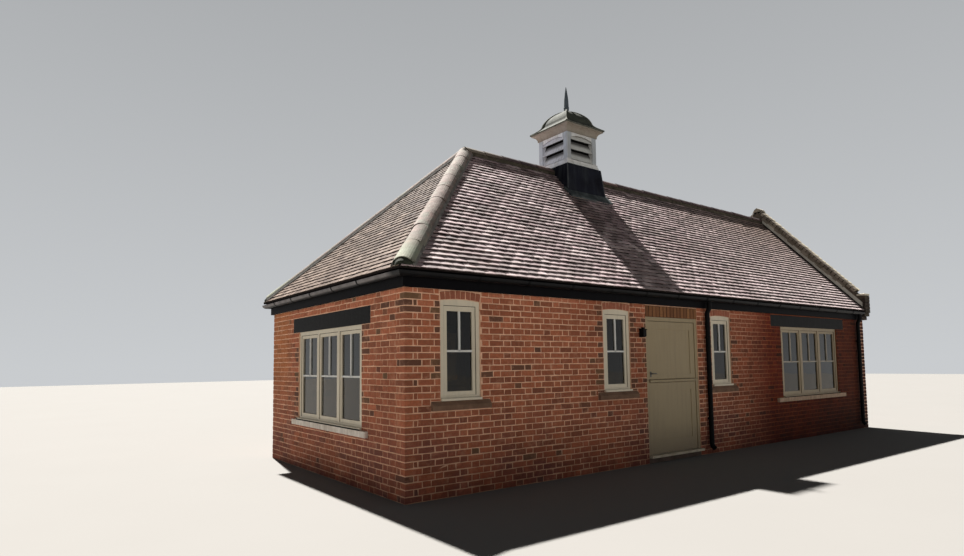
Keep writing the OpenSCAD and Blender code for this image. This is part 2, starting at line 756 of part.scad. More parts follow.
// The lead base, grown by swell, down to below the tiles.
module plinth_form(swell, below) square_form([
    [plinth_foot + 40 + swell, ridge_h - mid_y * main_slope / 2 - below],
    [plinth_foot + swell, flare_z - 110],
    [plinth_half + 50 + swell, flare_z],
    [plinth_half + swell, plinth_top + swell]]);

module cupola_plinth() color("#1a1c20") place() difference() {
    plinth_form(0, 0);
    under_roof(-seat, overhang, length);
}

// Lead apron over the tiles at the foot of the base, on both slopes.
apron_down = 620;       // how far it reaches down from the ridge, measured level
apron_side = 25;        // how far it reaches past the base on each side
apron_up = 44;          // height of its face over the tiled surface
module cupola_apron() color("#33383b") place() front_and_back() difference() {
    intersection() {
        translate([cupola_x - plinth_foot - apron_side, mid_y - apron_down, 0])
            cube([2 * (plinth_foot + apron_side), apron_down - plinth_half, sky]);
        under_roof(-seat - apron_up, overhang, length);
    }
    under_roof(-seat, overhang, length);
    plinth_form(seat, ridge_r);
}

// Corner posts between a base rail, moulded in two steps, and a head rail.
rail_h = 105;           // height of the box's base rail
head_rail = 20;         // height of its head rail
module cupola_frame() color("#c9c5b8") place() difference() {
    square_form([[box_half + 30, plinth_top + seat], [box_half + 30, plinth_top + 42],
        [box_half + 16, plinth_top + 52], [box_half + 16, plinth_top + 92],
        [box_half, plinth_top + rail_h], [box_half, box_top]]);
    translate([cupola_x, mid_y, plinth_top + rail_h]) linear_extrude(box_h - rail_h - head_rail)
        difference() {
            square(2 * box_half + 40, center = true);
            for (x = [-1, 1], y = [-1, 1])
                translate([x, y] * (box_half - post_w / 2)) square(post_w, center = true);
        }
    translate([cupola_x, mid_y, plinth_top + 20]) linear_extrude(box_h)
        square(2 * (box_half - post_w), center = true);
}

// Three sloping boards a side between the posts, the top one cut off under the head rail.
louvre_h = 178;         // height of a louvre board as it slopes
module cupola_louvres() color("#c4c0b2") place() {
    span = box_half - post_w - seat;
    for (side = [0 : 3], i = [0 : 2]) let (low = louvre_low + i * louvre_pitch)
        translate([cupola_x, mid_y, plinth_top]) rotate([0, 0, 90 * side]) along_x(-span, span)
            translate([-box_half, 0]) intersection() {
                translate([0, low])
                    polygon([[4, 0], [20, 0], [post_w - 4, louvre_h - 34], [post_w - 4, louvre_h]]);
                square([box_half, box_h - head_rail - seat]);
            }
}

// Blind lining behind the louvres, between the posts.
lining_t = 12;          // thickness of the lining
module cupola_lining() color("#1a1a1a") place()
    translate([cupola_x, mid_y, plinth_top + 20 + seat]) linear_extrude(box_h - 20 - 2 * seat)
        difference() {
            square(2 * (box_half - post_w - seat), center = true);
            square(2 * (box_half - post_w - seat - lining_t), center = true);
        }

// Flared cove under the lead roof.
module cupola_cornice() color("#c9c5b8") place() {
    foot = [box_half + 16, box_top + seat];
    head = [bell_half - 12, bell_low - 22];
    square_form(concat([foot, foot + [0, 18]],
        curve(foot + [0, 18], foot + [6, 50], head - [60, 22], head, 8),
        [[bell_half - 6, bell_low - 22], [bell_half - 6, bell_low - seat]]));
}

// Bell-shaped form of the lead roof: a concave skirt that turns into a rounded crown.
// It is grown by swell, outwards and upwards.
module bell_form(swell) {
    edge = [bell_half, bell_low + 14];
    waist = [bell_half * 0.68, bell_low + bell_h * 0.34];
    crown = [56, bell_top];
    outline = concat([[bell_half, bell_low]],
        curve(edge, edge + [-70, 46], waist + [22, -46], waist, 8),
        curve(waist, waist + [-30, 136], crown + [125, -34], crown, 8));
    square_form([for (p = outline) p + [swell, p[1] > bell_low ? swell : 0]]);
}

module cupola_roof() color("#7d8580") place() bell_form(0);

// Lead rolls that run down the four hips.
roll_w = 28;            // width of a roll
module cupola_hip_rolls() color("#9aa09a") place() difference() {
    intersection() {
        bell_form(roll_out);
        translate([cupola_x, mid_y, 0]) for (turn = [45, 135]) rotate([0, 0, turn])
            translate([-2 * bell_half, -roll_w / 2, 0]) cube([4 * bell_half, roll_w, sky]);
    }
    bell_form(seat);
    translate([cupola_x, mid_y, bell_low]) cylinder(h = bell_h + past, r = 60);
}

// Collar and a spike that tapers faster towards its tip.
module cupola_finial() color("#5c6670") place() translate([cupola_x, mid_y, bell_top + seat])
    rotate_extrude() polygon([[0, 0], [54, 0], [54, 12], [49, 18], [49, 72], [53, 78], [53, 86], [47, 92],
        [40, spike_h * 0.51], [23, spike_h * 0.78], [5, spike_h], [0, spike_h]]);

front_wall_left();
front_wall_over_door();
front_wall_right();
hip_end_wall();
back_wall();
far_gable_wall();
floor_slab();
door_step();
door_soldier_arch();
small_window_arches();
front_roof_slope();
back_roof_slope();
hip_roof_slope();
front_hip_tiles();
back_hip_tiles();
ridge_tiles();
parapet_coping_front();
parapet_coping_back();
parapet_kneelers();
parapet_flashing();
front_fascia();
hip_fascia();
back_fascia();
front_gutter();
hip_gutter();
back_gutter();
gutter_brackets();
downpipes();
downpipe_clips();
small_window_sills();
small_window_frames();
small_window_sashes();
small_window_glass();
lintel_boards();
stone_sills();
front_window_frame();
hip_window_frame();
large_window_casements();
large_window_glass();
door_frame();
door_threshold();
upper_door_leaf();
lower_door_leaf();
door_handle();
upper_leaf_hinges();
lower_leaf_hinges();
frame_hinges();
wall_lantern();
cupola_plinth();
cupola_apron();
cupola_frame();
cupola_louvres();
cupola_lining();
cupola_cornice();
cupola_roof();
cupola_hip_rolls();
cupola_finial();
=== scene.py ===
"""Looks of a brick outbuilding with a hipped tile roof and a louvred cupola.

Lengths are in metres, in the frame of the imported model: X along the front
from the hip end to the parapet gable, Y from the front wall into the
building, Z up from the ground. Places are taken from the frame's own pieces.
"""

import inspect
import math

import bpy
import numpy as np
from mathutils import Matrix, Vector


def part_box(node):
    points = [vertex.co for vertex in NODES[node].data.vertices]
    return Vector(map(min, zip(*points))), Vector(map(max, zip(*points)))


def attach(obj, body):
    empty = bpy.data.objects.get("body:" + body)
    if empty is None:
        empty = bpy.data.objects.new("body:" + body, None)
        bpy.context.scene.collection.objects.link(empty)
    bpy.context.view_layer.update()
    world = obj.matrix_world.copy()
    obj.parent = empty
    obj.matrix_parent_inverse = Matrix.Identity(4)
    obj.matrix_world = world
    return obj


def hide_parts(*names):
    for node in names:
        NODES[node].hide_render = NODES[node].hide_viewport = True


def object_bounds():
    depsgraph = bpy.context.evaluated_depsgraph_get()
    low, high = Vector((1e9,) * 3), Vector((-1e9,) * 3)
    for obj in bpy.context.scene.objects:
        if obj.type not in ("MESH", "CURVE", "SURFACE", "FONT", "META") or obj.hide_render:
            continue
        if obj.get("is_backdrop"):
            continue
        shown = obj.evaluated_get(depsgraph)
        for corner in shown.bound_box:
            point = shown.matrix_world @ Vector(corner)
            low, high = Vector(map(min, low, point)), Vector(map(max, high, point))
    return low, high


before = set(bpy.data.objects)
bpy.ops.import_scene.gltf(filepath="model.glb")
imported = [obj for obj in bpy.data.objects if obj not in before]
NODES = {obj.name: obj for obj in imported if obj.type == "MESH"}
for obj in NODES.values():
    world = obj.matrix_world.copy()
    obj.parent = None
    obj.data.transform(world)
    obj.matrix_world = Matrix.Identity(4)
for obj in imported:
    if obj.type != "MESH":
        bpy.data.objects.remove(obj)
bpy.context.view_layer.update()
dice = np.random.default_rng(1887)
UP = Vector((0, 0, 1))

# Sizes of the things that are laid by hand
BRICK_LONG = 0.2125         # worn bricks in wide joints, laid to the usual 225 by 75 mm
BRICK_END = 0.100
BRICK_HIGH = 0.0625
JOINT = 0.0125
COURSE = BRICK_HIGH + JOINT
BRICK_WIDE = {"stretcher": BRICK_LONG, "header": BRICK_END, "closer": 0.04375}
BURNT_SHARE = {"stretcher": 0.02, "header": 0.05, "closer": 0.06}
BURNT_AT_HOLES = 0.5        # share of burnt bricks beside windows and door
LEAST_CUT = 0.02            # the smallest piece of a brick or tile that is laid
LEAST_HIGH = 0.016          # and the lowest strip of a brick over or under a hole
BRICK_ROUGH = 0.0022        # scatter of a brick's corners
ARCH_JOINT = 0.0035         # half the joint between an arch's wedge bricks
SOLDIER_JOINT = 0.008       # half the joint between the bricks on end
TALL_HOLE = 0.5             # holes lower than this have no burnt bricks beside them
BRICK_PROUD = 0.004         # how far bricks stand out from the mortar
BRICK_SUNK = 0.012          # how far they run back into it
ARRIS = 0.0035              # width of a brick's worn edge
HOLE_GAP = 0.005            # joint round a window, a sill or the door
TILE_GAUGE = 0.094          # how much of a roof tile shows, up the slope
TILE_LONG = 0.190
TILE_WIDE = 0.165
TILE_THICK = 0.014          # a tile's tail also stands this far over the roof's plane
HIP_TILE_THICK = 0.010
TILE_STOP = 0.016           # gap between the tiles and the parapet
HIP_MARGIN = 0.012          # and between their cut edges and the hip line
TILE_CUTS = 4               # stretches across a tile's camber
CAP_THICK = 0.011           # round hip and ridge tiles
CAP_SPREAD = math.radians(76)
HIP_RADIUS = 0.125
RIDGE_RADIUS = 0.111
HIP_CAPS = 9                # round tiles on a hip
RIDGE_CAPS = 5, 15          # on the ridge before and after the cupola
HIP_FOOT = 0.125            # how far up the hip line the first round tile lies
HIP_DROP = 0.090            # depth of the round tiles' axis under the hip line
RIDGE_DROP = 0.0748         # and under the ridge, in its mortar
ARCH_RISE = 0.020           # rise of the small windows' curved heads
COPING_PITCH = 0.112        # spacing of the bricks laid across the parapet
BRICK_PITCH = 0.225         # spacing of bricks laid end to end
CAP_HIGH = 0.048            # the kneelers' stone caps
KNEELER_FOOT = 0.045        # how far a kneeler's foot stands out, over the fascia
LEAD_UP = 0.150             # height of the lead turned up against the parapet
JOINT_WIDE = 0.006          # painted shade in the joint round a sash
BAR_HALF = 0.012            # half the width of a glazing bar across the glass
UPRIGHT_HALF = 0.0135       # and of an upright one
BAR_LAP = 0.006             # how far a bar runs past the glass into the wood
BASE_RAIL = 0.030           # how far the cupola's base rail stands out from its posts
HEAD_DROP = 0.066           # depth of a louvred opening's arched board at its sides
HEAD_RISE = 0.052           # rise of the board's arch
HEAD_BEND = 0.6             # half angle of the arch, in radians
EAVES_ROLL = 0.010          # radius of the lead rolls round the cupola's eaves
BASE_ROLL = 0.011           # and up the corners of its base


# Places in the frame

def corner_points(name):
    """All corners of a node's mesh, as rows of x, y, z."""
    mesh = NODES[name].data
    flat = np.zeros(len(mesh.vertices) * 3)
    mesh.vertices.foreach_get("co", flat)
    return flat.reshape(-1, 3)


def solids_of(name):
    """Lowest and highest corner of each separate solid in a node, sorted along X, then Y, then Z."""
    points = corner_points(name)
    _, place = np.unique((points * 1e5).round().astype(int), axis=0, return_inverse=True)
    place = place.ravel()
    parent = list(range(place.max() + 1))

    def root(i):
        while parent[i] != i:
            parent[i] = parent[parent[i]]
            i = parent[i]
        return i

    for face in NODES[name].data.polygons:
        first = root(place[face.vertices[0]])
        for v in face.vertices[1:]:
            parent[root(place[v])] = first
    owner = np.array([root(i) for i in place])
    solids = [points[owner == o] for o in np.unique(owner)]
    boxes = [(tuple(own.min(0)), tuple(own.max(0))) for own in solids]
    return sorted(boxes, key=lambda b: tuple(round(v, 2) for v in b[0]))


WALL_Y0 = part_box("front_wall_left")[0].y        # face of the front wall
WALL_Y1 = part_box("back_wall")[1].y
WALL_X0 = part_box("hip_end_wall")[0].x           # face of the hip end wall
WALL_X1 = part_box("far_gable_wall")[1].x
GABLE_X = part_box("far_gable_wall")[0].x         # inner face of the parapet
WALL_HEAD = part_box("front_fascia")[0].z         # bricks stop behind the fascia
KNEELER_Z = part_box("parapet_kneelers")[0].z
RIDGE_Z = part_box("front_roof_slope")[1].z
RIDGE_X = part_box("hip_roof_slope")[1].x         # where the hips meet the ridge
EAVES_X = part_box("hip_roof_slope")[0].x
EAVES_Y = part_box("front_roof_slope")[0].y
MIDDLE_Y = (WALL_Y0 + WALL_Y1) / 2
BACK_EAVES_Y = 2 * MIDDLE_Y - EAVES_Y
FRONT_POINTS = corner_points("front_roof_slope")
EAVES_Z = FRONT_POINTS[FRONT_POINTS[:, 1] < EAVES_Y + 0.001, 2].max()
ROOF_RISE = RIDGE_Z - EAVES_Z
ROOF_DEPTH = MIDDLE_Y - EAVES_Y
HIP_DEPTH = RIDGE_X - EAVES_X
MAIN_SLOPE = ROOF_RISE / ROOF_DEPTH
PARAPET_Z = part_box("far_gable_wall")[1].z       # apex of the gable wall, under its coping
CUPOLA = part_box("cupola_frame")
CUPOLA_X = (CUPOLA[0].x + CUPOLA[1].x) / 2
FRONT, BACK, HIP_END, GABLE = (Vector(way) for way in ((0, -1, 0), (0, 1, 0), (-1, 0, 0), (1, 0, 0)))


def facing(box):
    """The way out of the building at a window's, sill's or lintel's box."""
    if box[1][0] < WALL_X0 + 0.3:
        return HIP_END
    return FRONT if box[0][1] < MIDDLE_Y else BACK


# Meshes made of many closed solids

def put(name, data):
    """A new object in the scene."""
    thing = bpy.data.objects.new(name, data)
    bpy.context.scene.collection.objects.link(thing)
    return thing


def ring_faces(rings, sides, half=0):
    """Faces between rings of points, capped at both ends. half counts the points across a shell's outside."""
    faces = []
    for r in range(rings - 1):
        for i in range(sides):
            j = (i + 1) % sides
            faces.append((r * sides + i, r * sides + j, (r + 1) * sides + j, (r + 1) * sides + i))
    caps = [tuple(range(sides))]
    if half:
        caps = [(i, i + 1, sides - 2 - i, sides - 1 - i) for i in range(half - 1)]
    last = (rings - 1) * sides
    return faces + [cap[::-1] for cap in caps] + [tuple(last + i for i in cap) for cap in caps]


def turned(points, origin, x_axis, y_axis, z_axis):
    """Points given in a local frame, put into the building's frame."""
    return np.array(origin) + points @ np.array([x_axis, y_axis, z_axis], float)


class Pile:
    """Solids of one finish, gathered to make one mesh. Each has a tone and a wear from 0 to 1."""

    def __init__(self):
        self.points, self.faces, self.marks, self.count = [], [], [], 0

    def add(self, points, faces, tones=0.5, wears=0.0):
        """points holds the corners of n like solids, (n, k, 3); faces lists their corner numbers."""
        points = np.asarray(points, float)
        n, k, _ = points.shape
        start = self.count + np.arange(n)[:, None] * k
        for face in faces:
            self.faces += (start + np.array(face)).tolist()
        self.points.append(points.reshape(-1, 3))
        marks = np.zeros((n, 2), np.float32)
        marks[:, 0], marks[:, 1] = tones, wears
        self.marks.append(np.repeat(marks, k, axis=0))
        self.count += n * k

    def loft(self, rings, tone=0.5):
        """A closed solid through rings of points."""
        rings = np.asarray(rings, float)
        self.add(rings.reshape(1, -1, 3), ring_faces(*rings.shape[:2]), tone)

    def sweep(self, outline, start, end, side, up, tone=0.5):
        """A straight moulding: an outline in (side, up) run from start to end."""
        shape = np.array(outline) @ np.array([side, up], float)
        self.loft([shape + np.array(start), shape + np.array(end)], tone)

    def roll(self, start, end, radius):
        """A round roll between two points."""
        start, end = Vector(start), Vector(end)
        ahead = (end - start).normalized()
        side = ahead.cross(UP if abs(ahead.z) < 0.9 else GABLE).normalized()
        ring = [(radius * math.cos(a), radius * math.sin(a)) for a in np.arange(10) * math.pi / 5]
        self.sweep(ring, start, end, side, side.cross(ahead))

    def make(self, name, material, slot, body="root"):
        """One object of all the solids, riding on a body."""
        mesh = bpy.data.meshes.new(name)
        mesh.from_pydata(np.concatenate(self.points).tolist(), [], self.faces)
        for mark, values in zip(("tone", "wear"), np.concatenate(self.marks).T):
            mesh.attributes.new(mark, "FLOAT", "POINT").data.foreach_set("value", values.copy())
        mesh.materials.append(material)
        mesh.update()
        piece = put(name, mesh)
        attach(piece, body)
        return piece


# A slab whose front has worn edges: a back ring, a shoulder ring and a face ring of four corners
SLAB_FACES = ring_faces(3, 4)


def wall_slabs(quads, origin, out):
    """Bricks on a wall's face. quads are their corners in (along, up), anticlockwise from low left."""
    n = len(quads)
    outer = quads + dice.normal(0, BRICK_ROUGH, (n, 4, 2))
    inner = outer + np.sign(outer.mean(1, keepdims=True) - outer) * ARRIS
    face = BRICK_PROUD + dice.normal(0, 0.0007, (n, 4)) + dice.normal(0, 0.0009, (n, 1))
    depth = np.concatenate([np.full((n, 4), -BRICK_SUNK), np.full((n, 4), BRICK_PROUD - ARRIS), face], 1)
    local = np.concatenate([np.concatenate([outer, outer, inner], 1), depth[..., None]], 2)
    return turned(local, origin, UP.cross(out), UP, out)


def worn_boxes(low, high, arris=ARRIS, rough=0.0012):
    """Boxes with a chamfer on every edge. Each corner becomes three points."""
    low, high = np.asarray(low, float), np.asarray(high, float)
    n = len(low)
    signs = np.indices((2, 2, 2)).reshape(3, 8).T * 2.0 - 1
    middle, half = (low + high)[:, None] / 2, (high - low)[:, None] / 2
    corner = middle + half * signs + dice.normal(0, rough, (n, 8, 3))
    inset = signs[:, None] * arris * (1 - np.eye(3))
    return (corner[:, :, None] - inset).reshape(n, 24, 3)


def box_faces():
    """Faces of a chamfered box: six sides, twelve edges and eight corners."""
    faces = []
    weights = 4, 2, 1
    square = (0, 0), (1, 0), (1, 1), (0, 1)
    for axis in range(3):
        a, b = (axis + 1) % 3, (axis + 2) % 3
        near = [3 * (s * weights[a] + t * weights[b]) for s, t in square]
        step = 3 * weights[axis]
        faces += [[c + axis for c in near][::-1], [c + step + axis for c in near]]
        for c, (s, t) in zip(near, square):
            edge = [c + a, c + step + a, c + step + b, c + b]
            faces.append(edge if s == t else edge[::-1])
    for corner in range(8):
        loop = [3 * corner, 3 * corner + 1, 3 * corner + 2]
        faces.append(loop if bin(corner).count("1") % 2 else loop[::-1])
    return faces


BOX_FACES = box_faces()


# Brickwork

def take_out(rect, hole):
    """What is left of a rectangle (left, low, right, high) beside, over and under a hole."""
    left, low, right, high = rect
    a, b, c, d = hole
    if a >= right or c <= left or b >= high or d <= low:
        return [rect]
    parts = ((left, low, a, high), (c, low, right, high),
             (max(left, a), low, min(right, c), b), (max(left, a), d, min(right, c), high))
    return [r for r in parts if r[2] - r[0] > LEAST_CUT and r[3] - r[1] > LEAST_HIGH]


def courses(height):
    """Number, foot and head of each course of bricks up to a height."""
    for course in range(int(height / COURSE) + 1):
        low = course * COURSE + JOINT / 2
        high = min(low + BRICK_HIGH, height)
        if high - low >= LEAST_CUT:
            yield course, low, high


def flemish(length, starts_long):
    """Left edge, right edge and kind of each brick of a course, from its corner brick on."""
    x = JOINT + (BRICK_LONG if starts_long else BRICK_END)
    kind = "header" if starts_long else "closer"
    while x < length:
        yield [x, x + BRICK_WIDE[kind], kind]
        x += BRICK_WIDE[kind] + JOINT
        kind = "header" if kind == "stretcher" else "stretcher"


def clay_tones(middle, spread, n=None):
    """Tones scattered round a middle one, for n solids or for one."""
    return np.clip(dice.normal(middle, spread, n), 0, 1)


def brick_marks(kinds, at_holes, heads):
    """A tone for each brick, redder under the eaves, and a wear that is high on burnt ones."""
    n = len(kinds)
    tones = dice.normal(0.5, 0.17, n) + np.where(heads > WALL_HEAD - COURSE, 0.22, 0)
    burnt = dice.random(n) < np.where(at_holes, BURNT_AT_HOLES, [BURNT_SHARE[kind] for kind in kinds])
    return np.clip(tones, 0, 1), np.where(burnt, dice.uniform(0.5, 1.0, n), dice.uniform(0, 0.35, n) ** 2)


def lay_wall(pile, corner, out, length, height, boxes, parity, end_parity, limit=None):
    """A face of Flemish bond between two corners, trimmed round the boxes of what stands in the wall.

    limit(z) gives the left and right ends of the wall at a height, for a gable."""
    holes = []
    for box in boxes:
        left, right = sorted((np.array(box) - corner) @ np.array(UP.cross(out)))
        holes.append((left - HOLE_GAP, box[0][2] - HOLE_GAP, right + HOLE_GAP, box[1][2] + HOLE_GAP))
    quads, kinds, at_holes = [], [], []
    for course, low, high in courses(height):
        right_end = length - (BRICK_LONG if course % 2 == end_parity else BRICK_END) - JOINT
        row = [brick for brick in flemish(length, course % 2 == parity) if brick[0] < right_end - 0.04]
        row[-1][1] = right_end
        for left, right, kind in row:
            rects = [(left, low, min(right, right_end), high)]
            for hole in holes:
                rects = [piece for rect in rects for piece in take_out(rect, hole)]
            for a, b, c, d in rects:
                quads.append([(a, b), (c, b), (c, d), (a, d)])
                kinds.append(kind)
                at_holes.append(any(min(abs(a - h[2]), abs(c - h[0])) < LEAST_CUT
                                    and b < h[3] and d > h[1] and h[3] - h[1] > TALL_HOLE for h in holes))
    quads, kinds, at_holes = np.array(quads), np.array(kinds), np.array(at_holes)
    if limit is not None:
        left, right = limit(quads[..., 1])
        quads[:, [0, 3], 0] = np.maximum(quads[:, [0, 3], 0], left[:, [0, 3]])
        quads[:, [1, 2], 0] = np.minimum(quads[:, [1, 2], 0], right[:, [1, 2]])
        fits = quads[:, 2, 0] - quads[:, 3, 0] > LEAST_CUT
        quads, kinds, at_holes = quads[fits], kinds[fits], at_holes[fits]
    tones, wears = brick_marks(kinds, at_holes, quads[:, 2, 1])
    pile.add(wall_slabs(quads, corner, out), SLAB_FACES, tones, wears)


def lay_corner(pile, x_face, y_face, height, long_on_x):
    """Corner bricks, each showing two faces. long_on_x tells which courses lie along X."""
    x_in, y_in = (1 if x_face == WALL_X0 else -1), (1 if y_face == WALL_Y0 else -1)
    low, high = [], []
    for course, foot, head in courses(height):
        x_long, y_long = (BRICK_LONG, BRICK_END) if course % 2 == long_on_x else (BRICK_END, BRICK_LONG)
        xs = sorted((x_face - x_in * BRICK_PROUD, x_face + x_in * x_long))
        ys = sorted((y_face - y_in * BRICK_PROUD, y_face + y_in * y_long))
        low.append((xs[0], ys[0], foot))
        high.append((xs[1], ys[1], head))
    tones, wears = brick_marks(["header"] * len(low), False, np.array(high)[:, 2])
    pile.add(worn_boxes(low, high), BOX_FACES, tones, wears)


def lay_arch(pile, window, arch, bricks=8):
    """Wedge bricks of a small window's curved arch, all pointing at the middle of its curve."""
    out = facing(window)
    wide = window[1][0] - window[0][0]
    radius = (wide ** 2 / 4 + ARCH_RISE ** 2) / (2 * ARCH_RISE)
    middle, centre_z = (window[0][0] + window[1][0]) / 2, window[1][2] - radius
    inner, outer = radius + 0.004, arch[1][2] - centre_z - 0.003
    spread = math.atan(wide / (2 * radius))
    step = 2 * spread / bricks
    gap = ARCH_JOINT / radius
    quads = []
    for i in range(bricks):
        a, b = -spread + i * step + gap, -spread + (i + 1) * step - gap
        quads.append([(middle + r * math.sin(t), centre_z + r * math.cos(t))
                      for r, t in ((inner, a), (inner, b), (outer, b), (outer, a))])
    quads = np.array(quads)
    if out == BACK:
        quads[..., 0] *= -1
        quads = quads[:, [1, 0, 3, 2]]
    points = wall_slabs(quads, (0, WALL_Y0 if out == FRONT else WALL_Y1, 0), out)
    pile.add(points, SLAB_FACES, clay_tones(0.68, 0.12, bricks))


def lay_soldiers(pile, box, bricks=15):
    """Bricks on end over the door."""
    edges = np.linspace(box[0].x, box[1].x, bricks + 1)
    low, high = box[0].z + 0.004, box[1].z - 0.005
    quads = [[(left, low), (right, low), (right, high), (left, high)]
             for left, right in zip(edges + SOLDIER_JOINT, edges[1:] - SOLDIER_JOINT)]
    points = wall_slabs(quads, (0, WALL_Y0, 0), FRONT)
    pile.add(points, SLAB_FACES, clay_tones(0.5, 0.22, bricks))


def gable_limit(z):
    """Ends of the gable wall at a height, from the front wall's face, under its sloping coping."""
    side = np.maximum(0, (z - PARAPET_Z + 0.006) / MAIN_SLOPE + (MIDDLE_Y - WALL_Y0))
    return side, (WALL_Y1 - WALL_Y0) - side


# What the bricks of a wall are trimmed round
IN_WALLS = ("small_window_frames small_window_arches small_window_sills lintel_boards stone_sills "
            "front_window_frame hip_window_frame door_frame door_soldier_arch door_step door_threshold")


def build_brickwork():
    """Single bricks on the four walls and their corners, the windows' arches and the row over the door."""
    boxes = [box for name in IN_WALLS.split() for box in solids_of(name)]
    red, damp_red = finish_brick("front_brick", 0.9), finish_brick("hip_end_brick", 1.0)
    long_x, long_y = WALL_X1 - WALL_X0, WALL_Y1 - WALL_Y0
    for name, material, x, y, out, length, height, *bond in (
            ("front_wall_bricks", red, WALL_X0, WALL_Y0, FRONT, long_x, WALL_HEAD, 0, 0),
            ("hip_end_bricks", damp_red, WALL_X0, WALL_Y1, HIP_END, long_y, WALL_HEAD, 0, 1),
            ("back_wall_bricks", red, WALL_X1, WALL_Y1, BACK, long_x, WALL_HEAD, 0, 1),
            ("gable_wall_bricks", red, WALL_X1, WALL_Y0, GABLE, long_y, PARAPET_Z, 1, 1, gable_limit)):
        pile = Pile()
        inside = [box for box in boxes if facing(box) == out]
        lay_wall(pile, (x, y, 0), out, length, height, inside, *bond)
        pile.make(name, material, "brick")
    pile = Pile()
    for x, y, height, long_on_x in ((WALL_X0, WALL_Y0, WALL_HEAD, 0), (WALL_X0, WALL_Y1, WALL_HEAD, 1),
                                    (WALL_X1, WALL_Y0, KNEELER_Z, 0), (WALL_X1, WALL_Y1, KNEELER_Z, 0)):
        lay_corner(pile, x, y, height, long_on_x)
    pile.make("corner_bricks", red, "brick")
    pile = Pile()
    for window, arch in zip(solids_of("small_window_frames"), solids_of("small_window_arches")):
        lay_arch(pile, window, arch)
    orange = rgb(126, 76, 58), rgb(150, 90, 68), rgb(172, 106, 82)
    finish = finish_fine_brick("arch_brick", orange, 30, 0.4, rgb(120, 70, 54))
    pile.make("arch_bricks", finish, "arch_brick")
    pile = Pile()
    lay_soldiers(pile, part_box("door_soldier_arch"))
    yellow = rgb(108, 70, 44), rgb(132, 88, 56), rgb(150, 104, 66)
    finish = finish_fine_brick("soldier_brick", yellow, 28, 0.5, rgb(112, 74, 50))
    pile.make("soldier_bricks", finish, "arch_brick")


# Roof covering

class Slope:
    """One plane of the roof: a run along the eaves, a direction up the slope and a normal."""

    def __init__(self, y, along, inward, depth):
        self.start, self.along = Vector((EAVES_X, y, EAVES_Z)), Vector(along)
        self.up = Vector(inward) * depth + UP * ROOF_RISE
        self.climb = self.up.length
        self.up.normalize()
        self.out = self.along.cross(self.up)
        if self.out.z < 0:
            self.out.negate()


# A tile in strips across its camber, each face turned by a corner so that it folds from tail to head
TILE_FACES = [face[1:] + face[:1] for face in ring_faces(TILE_CUTS + 1, 4)]


def lay_tiles(name, material, slope, left_limit, right_limit, first_tail=-0.006, thick=TILE_THICK):
    """Courses of plain clay tiles up a slope. The limits give its ends at a distance up the slope."""
    laid = []
    for row in range(int((slope.climb - 0.03) / TILE_GAUGE) + 1):
        tail = row * TILE_GAUGE + first_tail
        first, last = left_limit(tail), right_limit(tail)
        start = math.floor(first / TILE_WIDE) * TILE_WIDE - (0.5 * TILE_WIDE if row % 2 else 0)
        for i in range(int((last - start) / TILE_WIDE) + 1):
            left = start + i * TILE_WIDE
            if left + TILE_WIDE > first + LEAST_CUT and left < last - LEAST_CUT:
                laid.append((left, tail, row))
    n = len(laid)
    lefts, tails, rows = np.array(laid).T[..., None]
    tails = tails + dice.normal(0, 0.0016, (n, 1))
    across = np.linspace(0, 1, TILE_CUTS + 1)[None]
    gap = dice.uniform(0.0010, 0.0028, (n, 1))
    twist = dice.normal(0, 0.011, (n, 1))
    lift = thick + dice.normal(0, 0.0008, (n, 1)) + dice.normal(0, 0.0009, (n, 1)) * (across - 0.5) * 2
    camber = dice.normal(0.0018, 0.0007, (n, 1)) * 4 * across * (1 - across)
    wave = dice.normal(0, 0.0008, (n, TILE_CUTS + 1))
    fall = thick * 1.2 / TILE_GAUGE      # how fast a tile sinks under the next course

    def row_points(up_by, height, jitter):
        u = lefts + gap + (TILE_WIDE - 2 * gap) * across - twist * up_by
        v = tails + up_by + twist * (u - lefts - TILE_WIDE / 2) + jitter
        return np.stack([np.clip(u, left_limit(v), right_limit(v)), v, height], -1)

    rear = np.minimum(TILE_LONG, slope.climb - tails - 0.004)
    tail_top = row_points(0, lift + camber, wave)
    head_top = row_points(rear, lift + camber * 0.7 - fall * rear, 0 * wave)
    under = np.array([0, 0, thick])
    points = np.stack([head_top, tail_top, tail_top - under + (0, 0.0012, 0), head_top - under], 2)
    points = turned(points.reshape(n, -1, 3), slope.start, slope.along, slope.up, slope.out)
    tones = np.clip(dice.normal(0.5, 0.3, n) + 0.06 * np.sin(rows[:, 0] * 1.7), 0, 1)
    pile = Pile()
    pile.add(points, TILE_FACES, tones, dice.random(n))
    pile.make(name, material, "roof_tile")


